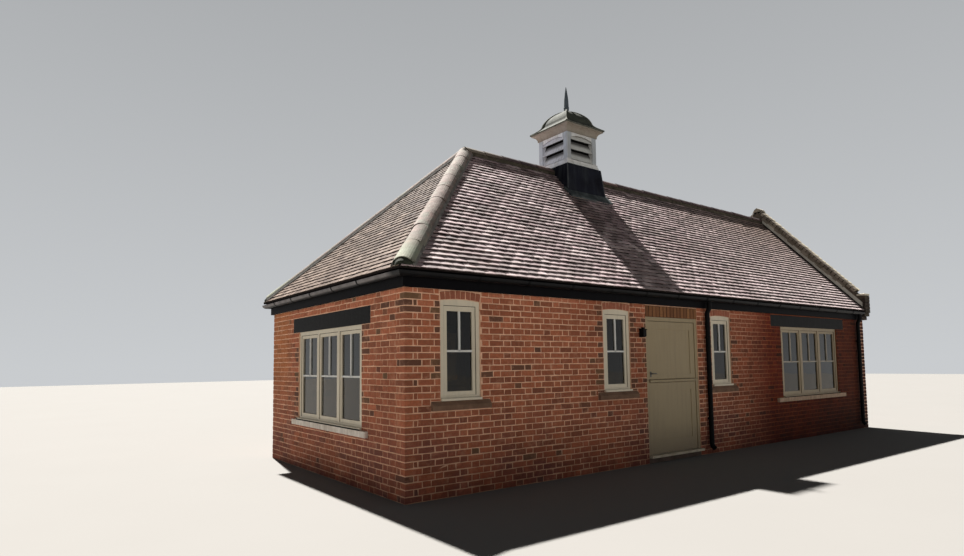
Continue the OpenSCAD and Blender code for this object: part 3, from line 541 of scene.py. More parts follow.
def build_roof():
    """Tiles on the three slopes, cut along the hips."""
    right_end = GABLE_X - TILE_STOP - EAVES_X

    def hip_cut(slope, depth):
        return lambda v: np.clip(v / slope.climb, 0, 1) * depth + HIP_MARGIN

    front = Slope(EAVES_Y, (1, 0, 0), (0, 1, 0), ROOF_DEPTH)
    back = Slope(BACK_EAVES_Y, (1, 0, 0), (0, -1, 0), ROOF_DEPTH)
    hip = Slope(EAVES_Y, (0, 1, 0), (1, 0, 0), HIP_DEPTH)
    pink = rgb(80, 63, 64), rgb(130, 108, 111), rgb(176, 153, 156), rgb(214, 198, 196)
    brown = rgb(64, 52, 50), rgb(100, 84, 80), rgb(132, 114, 108), rgb(160, 144, 136)
    # Darker tones than the front's: painted shade that holds back the stronger sun on the hip end's slope.
    cream = rgb(60, 48, 42), rgb(84, 71, 63), rgb(104, 90, 81), rgb(136, 121, 111)
    for name, slope, finish in (("front_roof_tiles", front, ("front_tile", front, 0.35, pink)),
                                ("back_roof_tiles", back, ("back_tile", back, 0.65, brown))):
        lay_tiles(name, finish_tile(*finish), slope, hip_cut(front, HIP_DEPTH), lambda v: right_end + 0 * v)
    left = hip_cut(hip, ROOF_DEPTH)
    lay_tiles("hip_roof_tiles", finish_tile("hip_end_tile", hip, 0.45, cream, 0.03), hip, left,
              lambda v: 2 * ROOF_DEPTH - left(v), 0.0, HIP_TILE_THICK)


def half_rounds(pile, start, end, radius, count, lap=0.006):
    """Curved capping tiles laid end to end along a line, each a shell open underneath."""
    start, end = Vector(start), Vector(end)
    along = (end - start).normalized()
    side = along.cross(UP).normalized()
    step = (end - start).length / count
    angles = np.linspace(-CAP_SPREAD, CAP_SPREAD, 15)
    faces = ring_faces(3, 2 * len(angles), len(angles))
    for i in range(count):
        tilt, shift = dice.normal(0, 0.0025), dice.normal(0, 0.003)
        local = []
        for place, grow in ((0.0, lap), (0.04, lap), (step - 0.006, 0.0)):
            for r, order in ((radius + CAP_THICK + grow, angles), (radius + grow, angles[::-1])):
                local += [(r * math.sin(a) + shift, r * math.cos(a) + tilt, i * step + place) for a in order]
        points = turned(np.array(local), start, side, side.cross(along), along)
        pile.add(points[None], faces, clay_tones(0.5, 0.2), dice.random())


def build_cappings():
    """Round tiles over the hips and the ridge, with mossy lumps in the hips' feet and fillets beside them."""
    hip_finish = finish_lichened()
    fillets, plugs = Pile(), Pile()
    arc = np.linspace(-1.3, 1.3, 15)
    plug = [(0.122 * math.sin(a), 0.122 * math.cos(a) - HIP_DROP) for a in arc]
    fillet = (0.112, 0.0), (0.164, 0.004), (0.158, 0.020), (0.124, 0.036)
    # The lump's rings as (distance up the hip, half width, height)
    lump = (-0.090, 0.050, 0.018), (-0.072, 0.080, 0.030), (-0.030, 0.105, 0.035), (0.020, 0.118, 0.034)
    for name, y_start, inward in (("front_hip_capping", EAVES_Y, 1), ("back_hip_capping", BACK_EAVES_Y, -1)):
        foot, head = Vector((EAVES_X, y_start, EAVES_Z)), Vector((RIDGE_X, MIDDLE_Y, RIDGE_Z))
        along = (head - foot).normalized()
        side = along.cross(UP).normalized()
        top = side.cross(along)
        start, down = foot + along * HIP_FOOT, -HIP_DROP * top
        pile = Pile()
        half_rounds(pile, start + down, head + down + along * 0.03, HIP_RADIUS, HIP_CAPS, lap=0.0025)
        pile.make(name, hip_finish, "hip_tile")
        low = foot + along * (HIP_FOOT - 0.012)
        plugs.sweep(plug, low, start + along * 0.14, side, top)
        plugs.loft([[start + along * run + side * (half * math.sin(a))
                     + top * ((high + 0.07) * math.cos(a) - 0.07)
                     for a in np.linspace(-1.3, 1.3, 11)] for run, half, high in lump])
        for normal in (Vector((0, -inward * MAIN_SLOPE, 1)), Vector((-ROOF_RISE / HIP_DEPTH, 0, 1))):
            normal.normalize()
            run = normal.cross(along)
            if run.z > 0:
                run.negate()
            fillets.sweep(fillet, low, head, run, normal)
    plugs.make("hip_foot_plugs", finish_mortar("mossy_mortar", rgb(58, 62, 50), rgb(34, 36, 30)), "hip_tile")
    fillets.make("hip_fillets", finish_mortar("fillet_mortar", rgb(118, 116, 112), rgb(84, 80, 76)),
                 "hip_tile")
    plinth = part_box("cupola_plinth")
    middle_x = (plinth[0].x + plinth[1].x) / 2
    clear = (CUPOLA[1].x - CUPOLA[0].x) / 2 + 0.065
    axis_z = RIDGE_Z - RIDGE_DROP
    pile = Pile()
    ends = (RIDGE_X - 0.02, middle_x - clear), (middle_x + clear, GABLE_X - 0.006)
    for (x0, x1), count in zip(ends, RIDGE_CAPS):
        half_rounds(pile, (x0, MIDDLE_Y, axis_z), (x1, MIDDLE_Y, axis_z), RIDGE_RADIUS, count)
    pile.make("ridge_capping", finish_ridge(), "roof_tile")


# Parapet

def build_coping(bed):
    """Bricks laid across the sloping copings and in a course along their inner side, on a mortar core."""
    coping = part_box("parapet_coping_front")
    foot_y, top = coping[0].y, coping[1].z
    rise = Vector((0, 1, MAIN_SLOPE)).normalized()
    thick = (top - PARAPET_Z) * rise.y
    foot_z = PARAPET_Z - (MIDDLE_Y - foot_y) * MAIN_SLOPE
    climb = (MIDDLE_Y - foot_y) / rise.y
    count = int(climb / COPING_PITCH)
    step = climb / count
    x0, x1 = coping[0].x + 0.006, coping[1].x - 0.006
    laid = range(1, int(climb / BRICK_PITCH))
    bricks, core = Pile(), Pile()
    for mirror in (1, -1):
        origin = (0, MIDDLE_Y + mirror * (foot_y - MIDDLE_Y), foot_z)
        axes = (1, 0, 0), (0, mirror * rise.y, rise.z), (0, -mirror * rise.z, rise.y)
        faces = BOX_FACES if mirror > 0 else [face[::-1] for face in BOX_FACES]

        def sloped(low, high, *worn):
            return turned(worn_boxes(low, high, *worn), origin, *axes), faces

        low = [(x0, i * step + 0.010, 0.004) for i in range(count)]
        high = [(x1, (i + 1) * step - 0.010, thick - 0.004 + dice.normal(0, 0.002)) for i in range(count)]
        high[-1] = (x1, climb - 0.075, high[-1][2])
        bricks.add(*sloped(low, high, 0.006, 0.0014), clay_tones(0.5, 0.2, count), dice.random(count))
        low = [(GABLE_X - 0.006, k * BRICK_PITCH + 0.004, -0.074) for k in laid]
        high = [(GABLE_X + 0.020, (k + 1) * BRICK_PITCH - 0.007, -0.004) for k in laid]
        bricks.add(*sloped(low, high, 0.004), dice.uniform(0.2, 1, len(laid)), dice.random(len(laid)))
        core.add(*sloped([(x0 + 0.012, 0.010, 0.001)], [(x1 - 0.012, climb - 0.040, thick - 0.016)], 0.004))
    saddle = (-0.105, -0.105), (0.105, -0.105), (0.060, -0.040), (0.0, -0.004), (-0.060, -0.040)
    bricks.sweep(saddle, (x0 + 0.003, MIDDLE_Y, top), (x1 - 0.003, MIDDLE_Y, top), BACK, UP, 0.8)
    weathered = rgb(88, 79, 71), rgb(124, 114, 103), rgb(160, 149, 135)
    cover = bricks.make("coping_bricks", finish_coping("coping_brick", x1, weathered), "coping")
    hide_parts("parapet_coping_front", "parapet_coping_back")
    core.make("coping_core", bed, "coping")


def build_kneelers(bed):
    """Corbelled bricks at the parapet's feet, on a mortar core, with a stone cap each."""
    bricks, core, caps = Pile(), Pile(), Pile()
    for low_corner, high_corner in solids_of("parapet_kneelers"):
        front = low_corner[1] < MIDDLE_Y
        wall, nose, sign = (WALL_Y0, low_corner[1], -1) if front else (WALL_Y1, high_corner[1], 1)
        reach = abs(nose - wall)
        inner, outer = low_corner[0] + 0.001, high_corner[0] - 0.006
        foot, head = low_corner[2], high_corner[2] - CAP_HIGH
        rows = int((head - foot) / COURSE)
        pitch = (head - foot) / rows
        low, high = [], []
        for k in range(rows):
            lean = (k + 0.9) * pitch * (reach - KNEELER_FOOT) / reach
            y0, y1 = sorted((wall - sign * 0.004, wall + sign * (min(reach, KNEELER_FOOT + lean) - 0.007)))
            cut = inner + (0.140 if k % 2 else 0.105)
            for a, b in ((inner, cut - 0.005), (cut + 0.005, outer)):
                low.append((a, y0, foot + k * pitch + 0.004))
                high.append((b, y1, foot + (k + 1) * pitch - 0.006))
        n = len(low)
        # Low tones here also paint the kneelers' shade.
        bricks.add(worn_boxes(low, high), BOX_FACES, clay_tones(0.3, 0.15, n), dice.uniform(0.4, 1, n))
        shape = ((-0.002, foot + 0.006), (KNEELER_FOOT - 0.012, foot + 0.006), (reach - 0.014, foot + reach),
                 (reach - 0.014, head), (-0.002, head))
        outline = [(sign * y, z) for y, z in shape]
        core.sweep(outline, (inner + 0.008, wall, 0), (outer - 0.008, wall, 0), BACK, UP)
        y0, y1 = sorted((wall - sign * 0.006, nose - sign * 0.006))
        low, high = (inner, y0, head + 0.002), (outer, y1, high_corner[2] - 0.002)
        caps.add(worn_boxes([low], [high], 0.006), BOX_FACES)
    # Dark tones that paint the shade on the kneelers.
    soiled = rgb(44, 36, 32), rgb(60, 50, 44), rgb(82, 70, 60)
    blocks = bricks.make("kneeler_bricks", finish_coping("kneeler_brick", WALL_X1 + 1.0, soiled), "coping")
    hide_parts("parapet_kneelers")
    core.make("kneeler_core", bed, "coping")
    caps.make("kneeler_caps", finish_stone("kneeler_cap", rgb(216, 208, 190), rgb(186, 178, 160)), "coping")


def build_upturn():
    """Lead turned up against the parapet, with a mortar fillet at its foot, near-black to paint the shadow
    where the tiles meet the parapet.
    """
    lead, fillet = Pile(), Pile()
    face = GABLE_X - 0.001
    sheet = (face - 0.005, 0.0), (face, 0.0), (face, LEAD_UP), (face - 0.005, LEAD_UP)
    wedge = (face - 0.034, 0.0), (face - 0.006, 0.0), (face - 0.006, 0.048), (face - 0.022, 0.034)
    for mirror in (1, -1):
        ends = [(0, MIDDLE_Y + mirror * (y - MIDDLE_Y), EAVES_Z + (y - EAVES_Y) * MAIN_SLOPE)
                for y in (EAVES_Y + 0.030, MIDDLE_Y - 0.130)]
        lead.sweep(sheet, *ends, GABLE, UP)
        fillet.sweep(wedge, *ends, GABLE, UP)
    upturn = lead.make("parapet_upturn", finish_lead("parapet_lead", "side"), "lead")
    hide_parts("parapet_flashing")
    # The fillet's near-black mortar is painted shadow.
    fillet.make("parapet_fillet", finish_mortar("dark_fillet", rgb(44, 38, 36), rgb(24, 21, 21)), "lead")


# Joinery

def bar_outline(half):
    """Cross-section of a glazing bar: flat outside, with a moulded back."""
    right = [(half, -0.020), (half, -0.004), (half - 0.003, 0.004), (0.004, 0.018)]
    return [(-half, -0.020)] + right + [(-x, z) for x, z in right[:0:-1]]


def glazing_bars(pile, glass, out, side):
    """One bar across a sheet of glass at its middle, and one upright in the part over it."""
    low, high = Vector(glass[0]), Vector(glass[1])
    middle = (low + high) / 2
    half = side * ((high - low).dot(side) / 2 + BAR_LAP)
    pile.sweep(bar_outline(BAR_HALF), middle - half, middle + half, UP, -out)
    head = Vector((middle.x, middle.y, high.z + 0.004))
    pile.sweep(bar_outline(UPRIGHT_HALF), middle, head, side, -out)


def joint_lines(pile, sash, out, side):
    """Painted shade: dark lines up both sides and along the head of a sash, on its outer face."""
    low, high = Vector(sash[0]), Vector(sash[1])
    wide, rise = side * (high - low).dot(side), UP * (high.z - low.z)
    corner = high - wide - rise if out == BACK else low
    far = corner + wide - side * JOINT_WIDE
    under = rise - UP * JOINT_WIDE
    strip = (0.0, -0.001), (JOINT_WIDE, -0.001), (JOINT_WIDE, 0.0015), (0.0, 0.0015)
    pile.sweep(strip, corner, corner + rise, side, out)
    pile.sweep(strip, far, far + rise, side, out)
    pile.sweep(strip, corner + wide + under, corner + under, UP, out)


def build_window_joinery():
    """Glazing bars, and dark strips of painted shade in the joints between sashes and frames and between
    large frames and sills.
    """
    paint = finish_paint("window_bar_paint", BAR_PAINT, sooty=True)
    # Near-black paint for the painted shade in the joints.
    dark = finish_black("sill_gap", rgb(14, 12, 11), 0.8, rgb(26, 22, 20), 0.1)
    sashes = "small_window_sashes large_window_casements"
    for draw, names, *made in (
            (glazing_bars, "small_window_glass", "small_window_bars", paint, "sage_paint"),
            (glazing_bars, "large_window_glass", "large_window_bars", paint, "sage_paint"),
            (joint_lines, sashes, "sash_joints", dark, "black_paint_wood")):
        pile = Pile()
        for name in names.split():
            for box in solids_of(name):
                out = facing(box)
                draw(pile, box, out, Vector((abs(out.y), abs(out.x), 0)))
        pile.make(*made)
    pile = Pile()
    gap = (-0.004, 0.0), (0.010, 0.0), (0.010, 0.014), (-0.004, 0.014)
    for low, high in (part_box("front_window_frame"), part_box("hip_window_frame")):
        out = facing((low, high))
        end = (low.x, high.y, low.z) if out == HIP_END else (high.x, low.y, low.z)
        pile.sweep(gap, low, end, out, UP)
    pile.make("sill_gaps", dark, "black_paint_wood")


def build_door_moulding():
    """The moulding along the upper leaf's foot."""
    low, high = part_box("upper_door_leaf")
    foot = low.z + 0.002
    outline = (-0.002, 0.0), (0.006, 0.0), (0.007, 0.008), (0.007, 0.030), (0.003, 0.036), (-0.002, 0.036)
    pile = Pile()
    pile.sweep(outline, (low.x + 0.004, low.y, foot), (high.x - 0.004, low.y, foot), FRONT, UP)
    pile.make("upper_leaf_moulding", finish_paint("moulding_paint", DOOR_PAINT), "door_paint", "upper_leaf")


def build_louvre_heads():
    """Boards with an arched foot at the head of each louvred opening."""
    half = (CUPOLA[1].x - CUPOLA[0].x) / 2 - BASE_RAIL
    louvres = solids_of("cupola_louvres")
    head = max(high[2] for _, high in louvres)
    low, high = [box for box in louvres if box[1][1] < MIDDLE_Y - 0.2][0]
    wide = (high[0] - low[0]) / 2
    foot = math.cos(HEAD_BEND)
    arc = [(wide * math.sin(a) / math.sin(HEAD_BEND),
            head - HEAD_DROP + HEAD_RISE * (math.cos(a) - foot) / (1 - foot))
           for a in np.linspace(-HEAD_BEND, HEAD_BEND, 13)]
    outline = arc + [(wide, head - 0.001), (-wide, head - 0.001)]
    middle = Vector((CUPOLA_X, MIDDLE_Y, 0))
    pile = Pile()
    for out in (FRONT, GABLE, BACK, HIP_END):
        pile.sweep(outline, middle + out * (half - 0.016), middle + out * (half - 0.002), UP.cross(out), UP)
    pile.make("louvre_heads", bpy.data.materials["cupola_paint"], "cream_paint")


# Leadwork

def build_leadwork():
    """Rolls round the cupola roof's eaves and up the corners of its base."""
    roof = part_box("cupola_roof")
    middle, half = (roof[0] + roof[1]) / 2, (roof[1].x - roof[0].x) / 2
    around = (-1, -1), (1, -1), (1, 1), (-1, 1)
    corners = [(middle.x + x * half, middle.y + y * half, roof[0].z + 0.010) for x, y in around]
    pile = Pile()
    for i in range(4):
        pile.roll(corners[i], corners[(i + 1) % 4], EAVES_ROLL)
    pile.make("cupola_eaves_rolls", finish_lead("eaves_roll_lead", "roll"), "lead")

    points = corner_points("cupola_plinth")
    near = points[points[:, 1] < MIDDLE_Y]
    head_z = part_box("cupola_plinth")[1].z
    head_half = MIDDLE_Y - near[near[:, 2] > head_z - 0.002][:, 1].min()
    lower = near[near[:, 2] < head_z - 0.3]
    flare_z = lower[:, 2].max()
    flare_half = MIDDLE_Y - lower[lower[:, 2] > flare_z - 0.002][:, 1].min()
    pile = Pile()
    for x in (-1, 1):
        for y in (-1, 1):
            pile.roll((CUPOLA_X + x * head_half, MIDDLE_Y + y * head_half, head_z - 0.008),
                      (CUPOLA_X + x * flare_half, MIDDLE_Y + y * flare_half, flare_z), BASE_ROLL)
    pile.make("cupola_base_rolls", finish_lead("base_roll_lead", "seam"), "dark_lead")


# Shader tools

def rgb(red, green, blue):
    """A colour picked as 0 to 255 screen values, in the linear values that shaders use."""
    shares = red / 255, green / 255, blue / 255
    return (*(c / 12.92 if c <= 0.04045 else ((c + 0.055) / 1.055) ** 2.4 for c in shares), 1.0)


def between(share, first, second):
    """The colour that lies a share of the way from one to another."""
    return tuple(a + (b - a) * share for a, b in zip(first, second))


class Shade:
    """Short ways to add and join nodes in one tree."""

    def __init__(self, tree):
        self.tree = tree
        tree.nodes.clear()

    def add(self, kind, inputs, **settings):
        """A node's outputs. Inputs are sockets to join or plain values."""
        node = self.tree.nodes.new("ShaderNode" + kind)
        for key, value in settings.items():
            setattr(node, key, value)
        for key, value in inputs.items():
            if isinstance(value, bpy.types.NodeSocket):
                self.tree.links.new(value, node.inputs[key])
            else:
                node.inputs[key].default_value = value
        return node.outputs

    def math(self, operation, a, b=0.0):
        return self.add("Math", {0: a, 1: b}, operation=operation)[0]

    def times(self, a, b):
        return self.math("MULTIPLY", a, b)

    def plus(self, a, b):
        return self.math("ADD", a, b)

    def minus(self, a, b):
        return self.math("SUBTRACT", a, b)

    def mix(self, share, a, b, blend="MIX"):
        return self.add("Mix", {0: share, 6: a, 7: b}, data_type="RGBA", blend_type=blend,
                        clamp_factor=True)[2]

    def tinted(self, share, colour, tint):
        """A colour multiplied by a tint, as far as share says."""
        return self.mix(share, colour, self.mix(1.0, colour, tint, "MULTIPLY"))

    def reach(self, value, low, high, to_low=0.0, to_high=1.0):
        """A value's way from low to high, held between to_low and to_high."""
        return self.add("MapRange", {"Value": value, "From Min": low, "From Max": high,
                                     "To Min": to_low, "To Max": to_high}, clamp=True)["Result"]

    def noise(self, vector, scale, detail=4.0, rough=0.55):
        inputs = {"Vector": vector, "Scale": scale, "Detail": detail, "Roughness": rough}
        return self.add("TexNoise", inputs)["Fac"]

    def stretch(self, vector, z):
        """A place squeezed upwards, so that patterns run down an upright face."""
        return self.add("Mapping", {"Vector": vector, "Scale": (1, 1, z)})["Vector"]

    def part(self, vector, axis):
        return self.add("SeparateXYZ", {"Vector": vector})[axis]


SOCKETS = {"value": "NodeSocketFloat", "colour": "NodeSocketColor", "normal": "NodeSocketVector"}
GROUPS = {}


def group(build):
    """Makes a shader node group of the function that fills it.

    The function's parameters are the group's inputs: a place, colours, and numbers where they have a default.
    It returns the group's outputs by name."""
    tree = bpy.data.node_groups.new(build.__name__, "ShaderNodeTree")
    shade = Shade(tree)
    for label, given in list(inspect.signature(build).parameters.items())[1:]:
        number = given.default is not given.empty
        kind = SOCKETS["normal" if label == "place" else "value" if number else "colour"]
        socket = tree.interface.new_socket(label, in_out="INPUT", socket_type=kind)
        if number:
            socket.default_value = given.default
    inputs, out = tree.nodes.new("NodeGroupInput").outputs, tree.nodes.new("NodeGroupOutput")
    for label, result in build(shade, **{socket.name: socket for socket in inputs if socket.name}).items():
        tree.interface.new_socket(label, in_out="OUTPUT", socket_type=SOCKETS[label])
        tree.links.new(result, out.inputs[label])
    GROUPS[build.__name__] = tree


@group
def grain(s, place, scale=90.0, strength=0.3, depth=0.002):
    """Fine pits and lumps of a fired or sawn surface."""
    fine, coarse = s.noise(place, scale, 6.0, 0.62), s.noise(place, s.times(scale, 0.22))
    both = s.plus(s.times(fine, 0.6), s.times(coarse, 0.4))
    bump = s.add("Bump", {"Height": both, "Strength": strength, "Distance": depth})
    return {"value": both, "normal": bump["Normal"]}


@group
def stains(s, place, colour, dirt, scale=0.7, amount=0.3, rise=0.5, damp=0.5):
    """Large soft patches of dirt, thicker near the ground."""
    patches = s.times(s.reach(s.noise(place, scale, 3.0), 0.42, 0.72), amount)
    low = s.reach(s.part(place, "Z"), 0.0, rise, 1.0, 0.0)
    ragged = s.times(low, s.reach(s.noise(place, 3.0, 5.0), 0.3, 0.65, 0.5, 1.0))
    return {"colour": s.tinted(s.math("MAXIMUM", patches, s.times(ragged, damp)), colour, dirt)}


@group
def streaks(s, place, colour, streak, scale=14.0, amount=0.5):
    """Rain streaks that run down an upright face."""
    runs = s.noise(s.stretch(place, 0.06), scale, 5.0, 0.6)
    return {"colour": s.mix(s.times(s.reach(runs, 0.48, 0.72), amount), colour, streak)}


@group
def lichen(s, place, colour, crust, scale=26.0, amount=0.5):
    """Round crusts of lichen, in loose colonies."""
    cells = s.add("TexVoronoi", {"Vector": place, "Scale": scale, "Randomness": 1.0})["Distance"]
    spot = s.plus(cells, s.times(s.noise(place, s.times(scale, 2.3), 5.0), 0.55))
    colony = s.times(s.reach(s.noise(place, 2.6, 3.0), 0.38, 0.62), amount)
    return {"colour": s.mix(s.times(s.reach(spot, 0.62, 0.48), colony), colour, crust)}


@group
def soot(s, place, colour, tint, left=0.0, right=1.0):
    """Painted shade that thickens along the front wall, from left to right."""
    near = s.reach(s.part(place, "Y"), WALL_Y0 + 0.3, WALL_Y0 + 0.05)
    return {"colour": s.tinted(s.times(s.reach(s.part(place, "X"), left, right), near), colour, tint)}


class Finish(Shade):
    """A material in the making: the place on the building, and the colour so far."""

    def __init__(self, name, colour=None):
        self.material = bpy.data.materials.new(name)
        self.material.use_nodes = True
        super().__init__(self.material.node_tree)
        self.place = self.add("TexCoord", {})["Object"]
        self.colour = colour

    def along(self, axis, low, high, to_low=0.0, to_high=1.0):
        """How far a point has come along an axis, from low to high."""
        return self.reach(self.part(self.place, axis), low, high, to_low, to_high)

    def mark(self, name):
        return self.add("Attribute", {}, attribute_name=name)["Fac"]

    def patches(self, scale, detail, rough, low, high, most=1.0, least=0.0):
        """Cloudy patches, from least where the noise is low to most where it is high."""
        return self.reach(self.noise(self.place, scale, detail, rough), low, high, least, most)

    def toned(self, colours, stops=(0.0, 0.5, 1.0)):
        """A colour by the tone of each solid."""
        output = self.add("ValToRGB", {"Fac": self.mark("tone")})["Color"]
        elements = output.node.color_ramp.elements
        elements.remove(elements[-1])
        elements[0].position, elements[0].color = stops[0], colours[0]
        for stop, colour in zip(stops[1:], colours[1:]):
            elements.new(stop).color = colour
        return output

    def blend(self, share, colour):
        self.colour = self.mix(share, self.colour, colour)

    def tint(self, share, tint):
        self.colour = self.tinted(share, self.colour, tint)

    def coat(self, name, **inputs):
        """Lays one of the groups over the colour."""
        self.colour = self.add("Group", {"place": self.place, "colour": self.colour, **inputs},
                               node_tree=GROUPS[name])["colour"]

    def soot(self, redden, darken):
        """Painted shade on the front wall right of the door: redder, then darker towards the gable."""
        self.coat("soot", tint=redden, left=0.3, right=1.9)
        self.coat("soot", tint=darken, left=1.9, right=WALL_X1)

    def grain(self, scale, strength, depth, squeeze=1.0):
        place = self.stretch(self.place, squeeze) if squeeze < 1 else self.place
        return self.add("Group", {"place": place, "scale": scale, "strength": strength, "depth": depth},
                        node_tree=GROUPS["grain"])

    def end(self, grain, rough, gloss):
        """Closes the material over its grain. rough is one value or its range over the grain."""
        if isinstance(rough, tuple):
            rough = self.reach(grain["value"], 0.3, 0.7, *rough)
        return self.surface({"Base Color": self.colour, "Normal": grain["normal"], "Roughness": rough,
                             "Specular IOR Level": gloss})

    def surface(self, inputs):
        shader = self.add("BsdfPrincipled", inputs)
        self.add("OutputMaterial", {"Surface": shader[0]})
        return self.material


# Finishes

WINDOW_PAINT = rgb(219, 207, 184)
BAR_PAINT = rgb(222, 220, 214)
DOOR_PAINT = rgb(160, 142, 108)


def finish_brick(name, damp):
    """Soft red facing bricks: orange to brown, with purple-black burnt ones."""
    f = Finish(name)
    f.colour = f.toned((rgb(124, 74, 56), rgb(154, 90, 64), rgb(176, 102, 72), rgb(192, 112, 78),
                        rgb(206, 128, 96)), (0.0, 0.3, 0.55, 0.8, 1.0))
    burnt = f.toned((rgb(92, 64, 52), rgb(110, 74, 58), rgb(120, 94, 66)))
    f.blend(f.reach(f.mark("wear"), 0.35, 0.6), burnt)
    f.blend(f.patches(26, 5, 0.6, 0.35, 0.7, 0.75), f.mix(0.6, f.colour, rgb(100, 66, 50)))
    purple = f.times(f.along("Z", 1.0, 0.45), f.patches(1.4, 3, 0.55, 0.42, 0.6, 0.55))
    f.blend(purple, rgb(112, 70, 68))
    repair = f.times(f.along("Y", WALL_Y1 - 0.95, WALL_Y1 - 0.6), f.along("X", WALL_X0 + 0.4, WALL_X0 + 0.1))
    f.blend(f.times(repair, f.along("Z", 0.9, 1.5, 0.0, 0.6)), rgb(186, 116, 66))
    f.blend(f.patches(9, 6, 0.7, 0.52, 0.72, 0.5), rgb(206, 150, 118))
    # Painted shade: redder, then darker towards the gable end of the front wall.
    f.soot(rgb(154, 98, 62), rgb(188, 210, 224))
    f.coat("stains", dirt=rgb(170, 138, 126), amount=0.35, rise=0.75, damp=damp)
    return f.end(f.grain(120, 0.55, 0.0025), (0.8, 0.95), 0.25)


def finish_fine_brick(name, tones, scale, amount, mottle):
    """Finer, evener bricks of the arches and over the door."""
    f = Finish(name)
    f.colour = f.toned(tones)
    f.blend(f.patches(scale, 5, 0.6, 0.4, 0.7, amount), mottle)
    return f.end(f.grain(130, 0.4, 0.002), 0.88, 0.25)


def finish_mortar(name, colour, dark, inner=None, sooty=False):
    """Sandy lime mortar. inner is the colour of the render over the parapet's side above the roof."""
    f = Finish(name)
    f.colour = f.mix(f.patches(14, 5, 0.6, 0.35, 0.7), colour, dark)
    if inner:
        side = f.along("X", WALL_X1 - 0.010, WALL_X1 - 0.012)
        f.blend(f.times(side, f.along("Z", EAVES_Z - 0.05, EAVES_Z)), inner)
    # Painted shade: the mortar grows redder, then darker towards the gable along the front wall.
    if sooty:
        f.soot(rgb(158, 108, 80), rgb(188, 210, 224))
    f.coat("stains", dirt=rgb(150, 134, 122), amount=0.4, rise=0.7, damp=0.9)
    return f.end(f.grain(260, 0.5, 0.002), 0.95, 0.2)


def finish_tile(name, slope, mossy, tones, gloss=0.5):
    """Handmade clay roof tiles, some weathered pale, and lichened, with painted highlights and painted shade.
    tones run from dark to pale, then a pale tone for the weathered tiles and the highlights.
    """
    f = Finish(name)
    wear, bloom = f.mark("wear"), tones[3]
    f.colour = f.toned(tones[:3])
    f.blend(f.reach(wear, 0.80, 0.86, 0.0, 0.85), between(0.4, tones[0], rgb(70, 54, 50)))
    f.blend(f.reach(wear, 0.20, 0.12, 0.0, 0.5), bloom)
    f.blend(f.patches(26, 6, 0.65, 0.45, 0.7, 0.6), f.mix(0.55, f.colour, bloom))
    for scale, amount in ((0.9, 0.75), (3.2, 0.55)):
        f.tint(f.patches(scale, 4, 0.6, 0.46, 0.66, amount), rgb(164, 144, 140))
    # Painted highlight: paler towards the eaves, in patches.
    bleached = f.times(f.along("Z", EAVES_Z + 1.1, EAVES_Z), f.patches(1.7, 3, 0.55, 0.35, 0.6))
    f.blend(f.times(bleached, 0.45), f.mix(0.7, f.colour, bloom))
    # Painted highlight along each tile's tail, partly weathering, and painted shade under the course above,
    # partly dirt; both grow stronger towards the gable.
    up = f.minus(f.part(f.place, "Z"), EAVES_Z + TILE_THICK * slope.out[2])
    course = f.math("FRACT", f.plus(f.math("DIVIDE", up, TILE_GAUGE * slope.up[2]), 0.06))
    f.blend(f.times(f.reach(course, 0.6, 0.2), f.along("X", -1.0, 4.5, 0.12, 0.6)), bloom)
    f.tint(f.times(f.reach(course, 0.5, 0.9), f.along("X", -1.0, 4.5, 0.15, 0.9)), rgb(128, 114, 112))
    olive = f.times(f.along("Z", EAVES_Z + 0.5, RIDGE_Z - 0.3), f.along("X", 0.0, WALL_X1 - 1.0))
    f.tint(f.times(olive, 0.8), rgb(196, 182, 162))
    f.coat("lichen", crust=rgb(132, 124, 96), scale=24.0, amount=mossy)
    return f.end(f.grain(110, 0.5, 0.002), (0.58, 0.8), gloss)


def finish_underlay():
    """What shows in the gaps between tiles: near-black, partly a dark underlay, partly painted shade."""
    f = Finish("tile_underlay")
    pits = f.grain(60, 0.4, 0.003)
    f.colour = f.mix(pits["value"], rgb(20, 16, 15), rgb(42, 34, 31))
    return f.end(pits, 0.95, 0.1)


def finish_lichened():
    """Round hip tiles, beige-grey under lichen and moss."""
    f = Finish("hip_capping")
    f.colour = f.toned((rgb(108, 96, 90), rgb(128, 116, 110)), (0.0, 1.0))
    f.blend(f.patches(6, 5, 0.7, 0.42, 0.62, 0.85), rgb(92, 78, 70))
    f.blend(f.patches(4.2, 5, 0.65, 0.48, 0.64, 0.75), rgb(106, 110, 98))
    f.blend(f.patches(8.5, 4, 0.6, 0.55, 0.68, 0.6), rgb(134, 108, 100))
    pale = f.times(f.along("Z", EAVES_Z + 0.5, EAVES_Z + 0.2), f.along("Z", EAVES_Z + 0.03, EAVES_Z + 0.1))
    f.blend(f.times(pale, 0.7), rgb(132, 138, 120))
    # Darker at the hip's foot: partly moss, partly painted shade under the end of the round tiles.
    height = f.plus(f.part(f.place, "Z"), f.patches(22, 4, 0.55, 0.3, 0.7, 0.03, -0.03))
    f.blend(f.reach(height, EAVES_Z + 0.075, EAVES_Z + 0.045), rgb(52, 58, 46))
    f.coat("lichen", crust=rgb(150, 144, 132), amount=0.8)
    return f.end(f.grain(50, 0.9, 0.008), 0.9, 0.25)


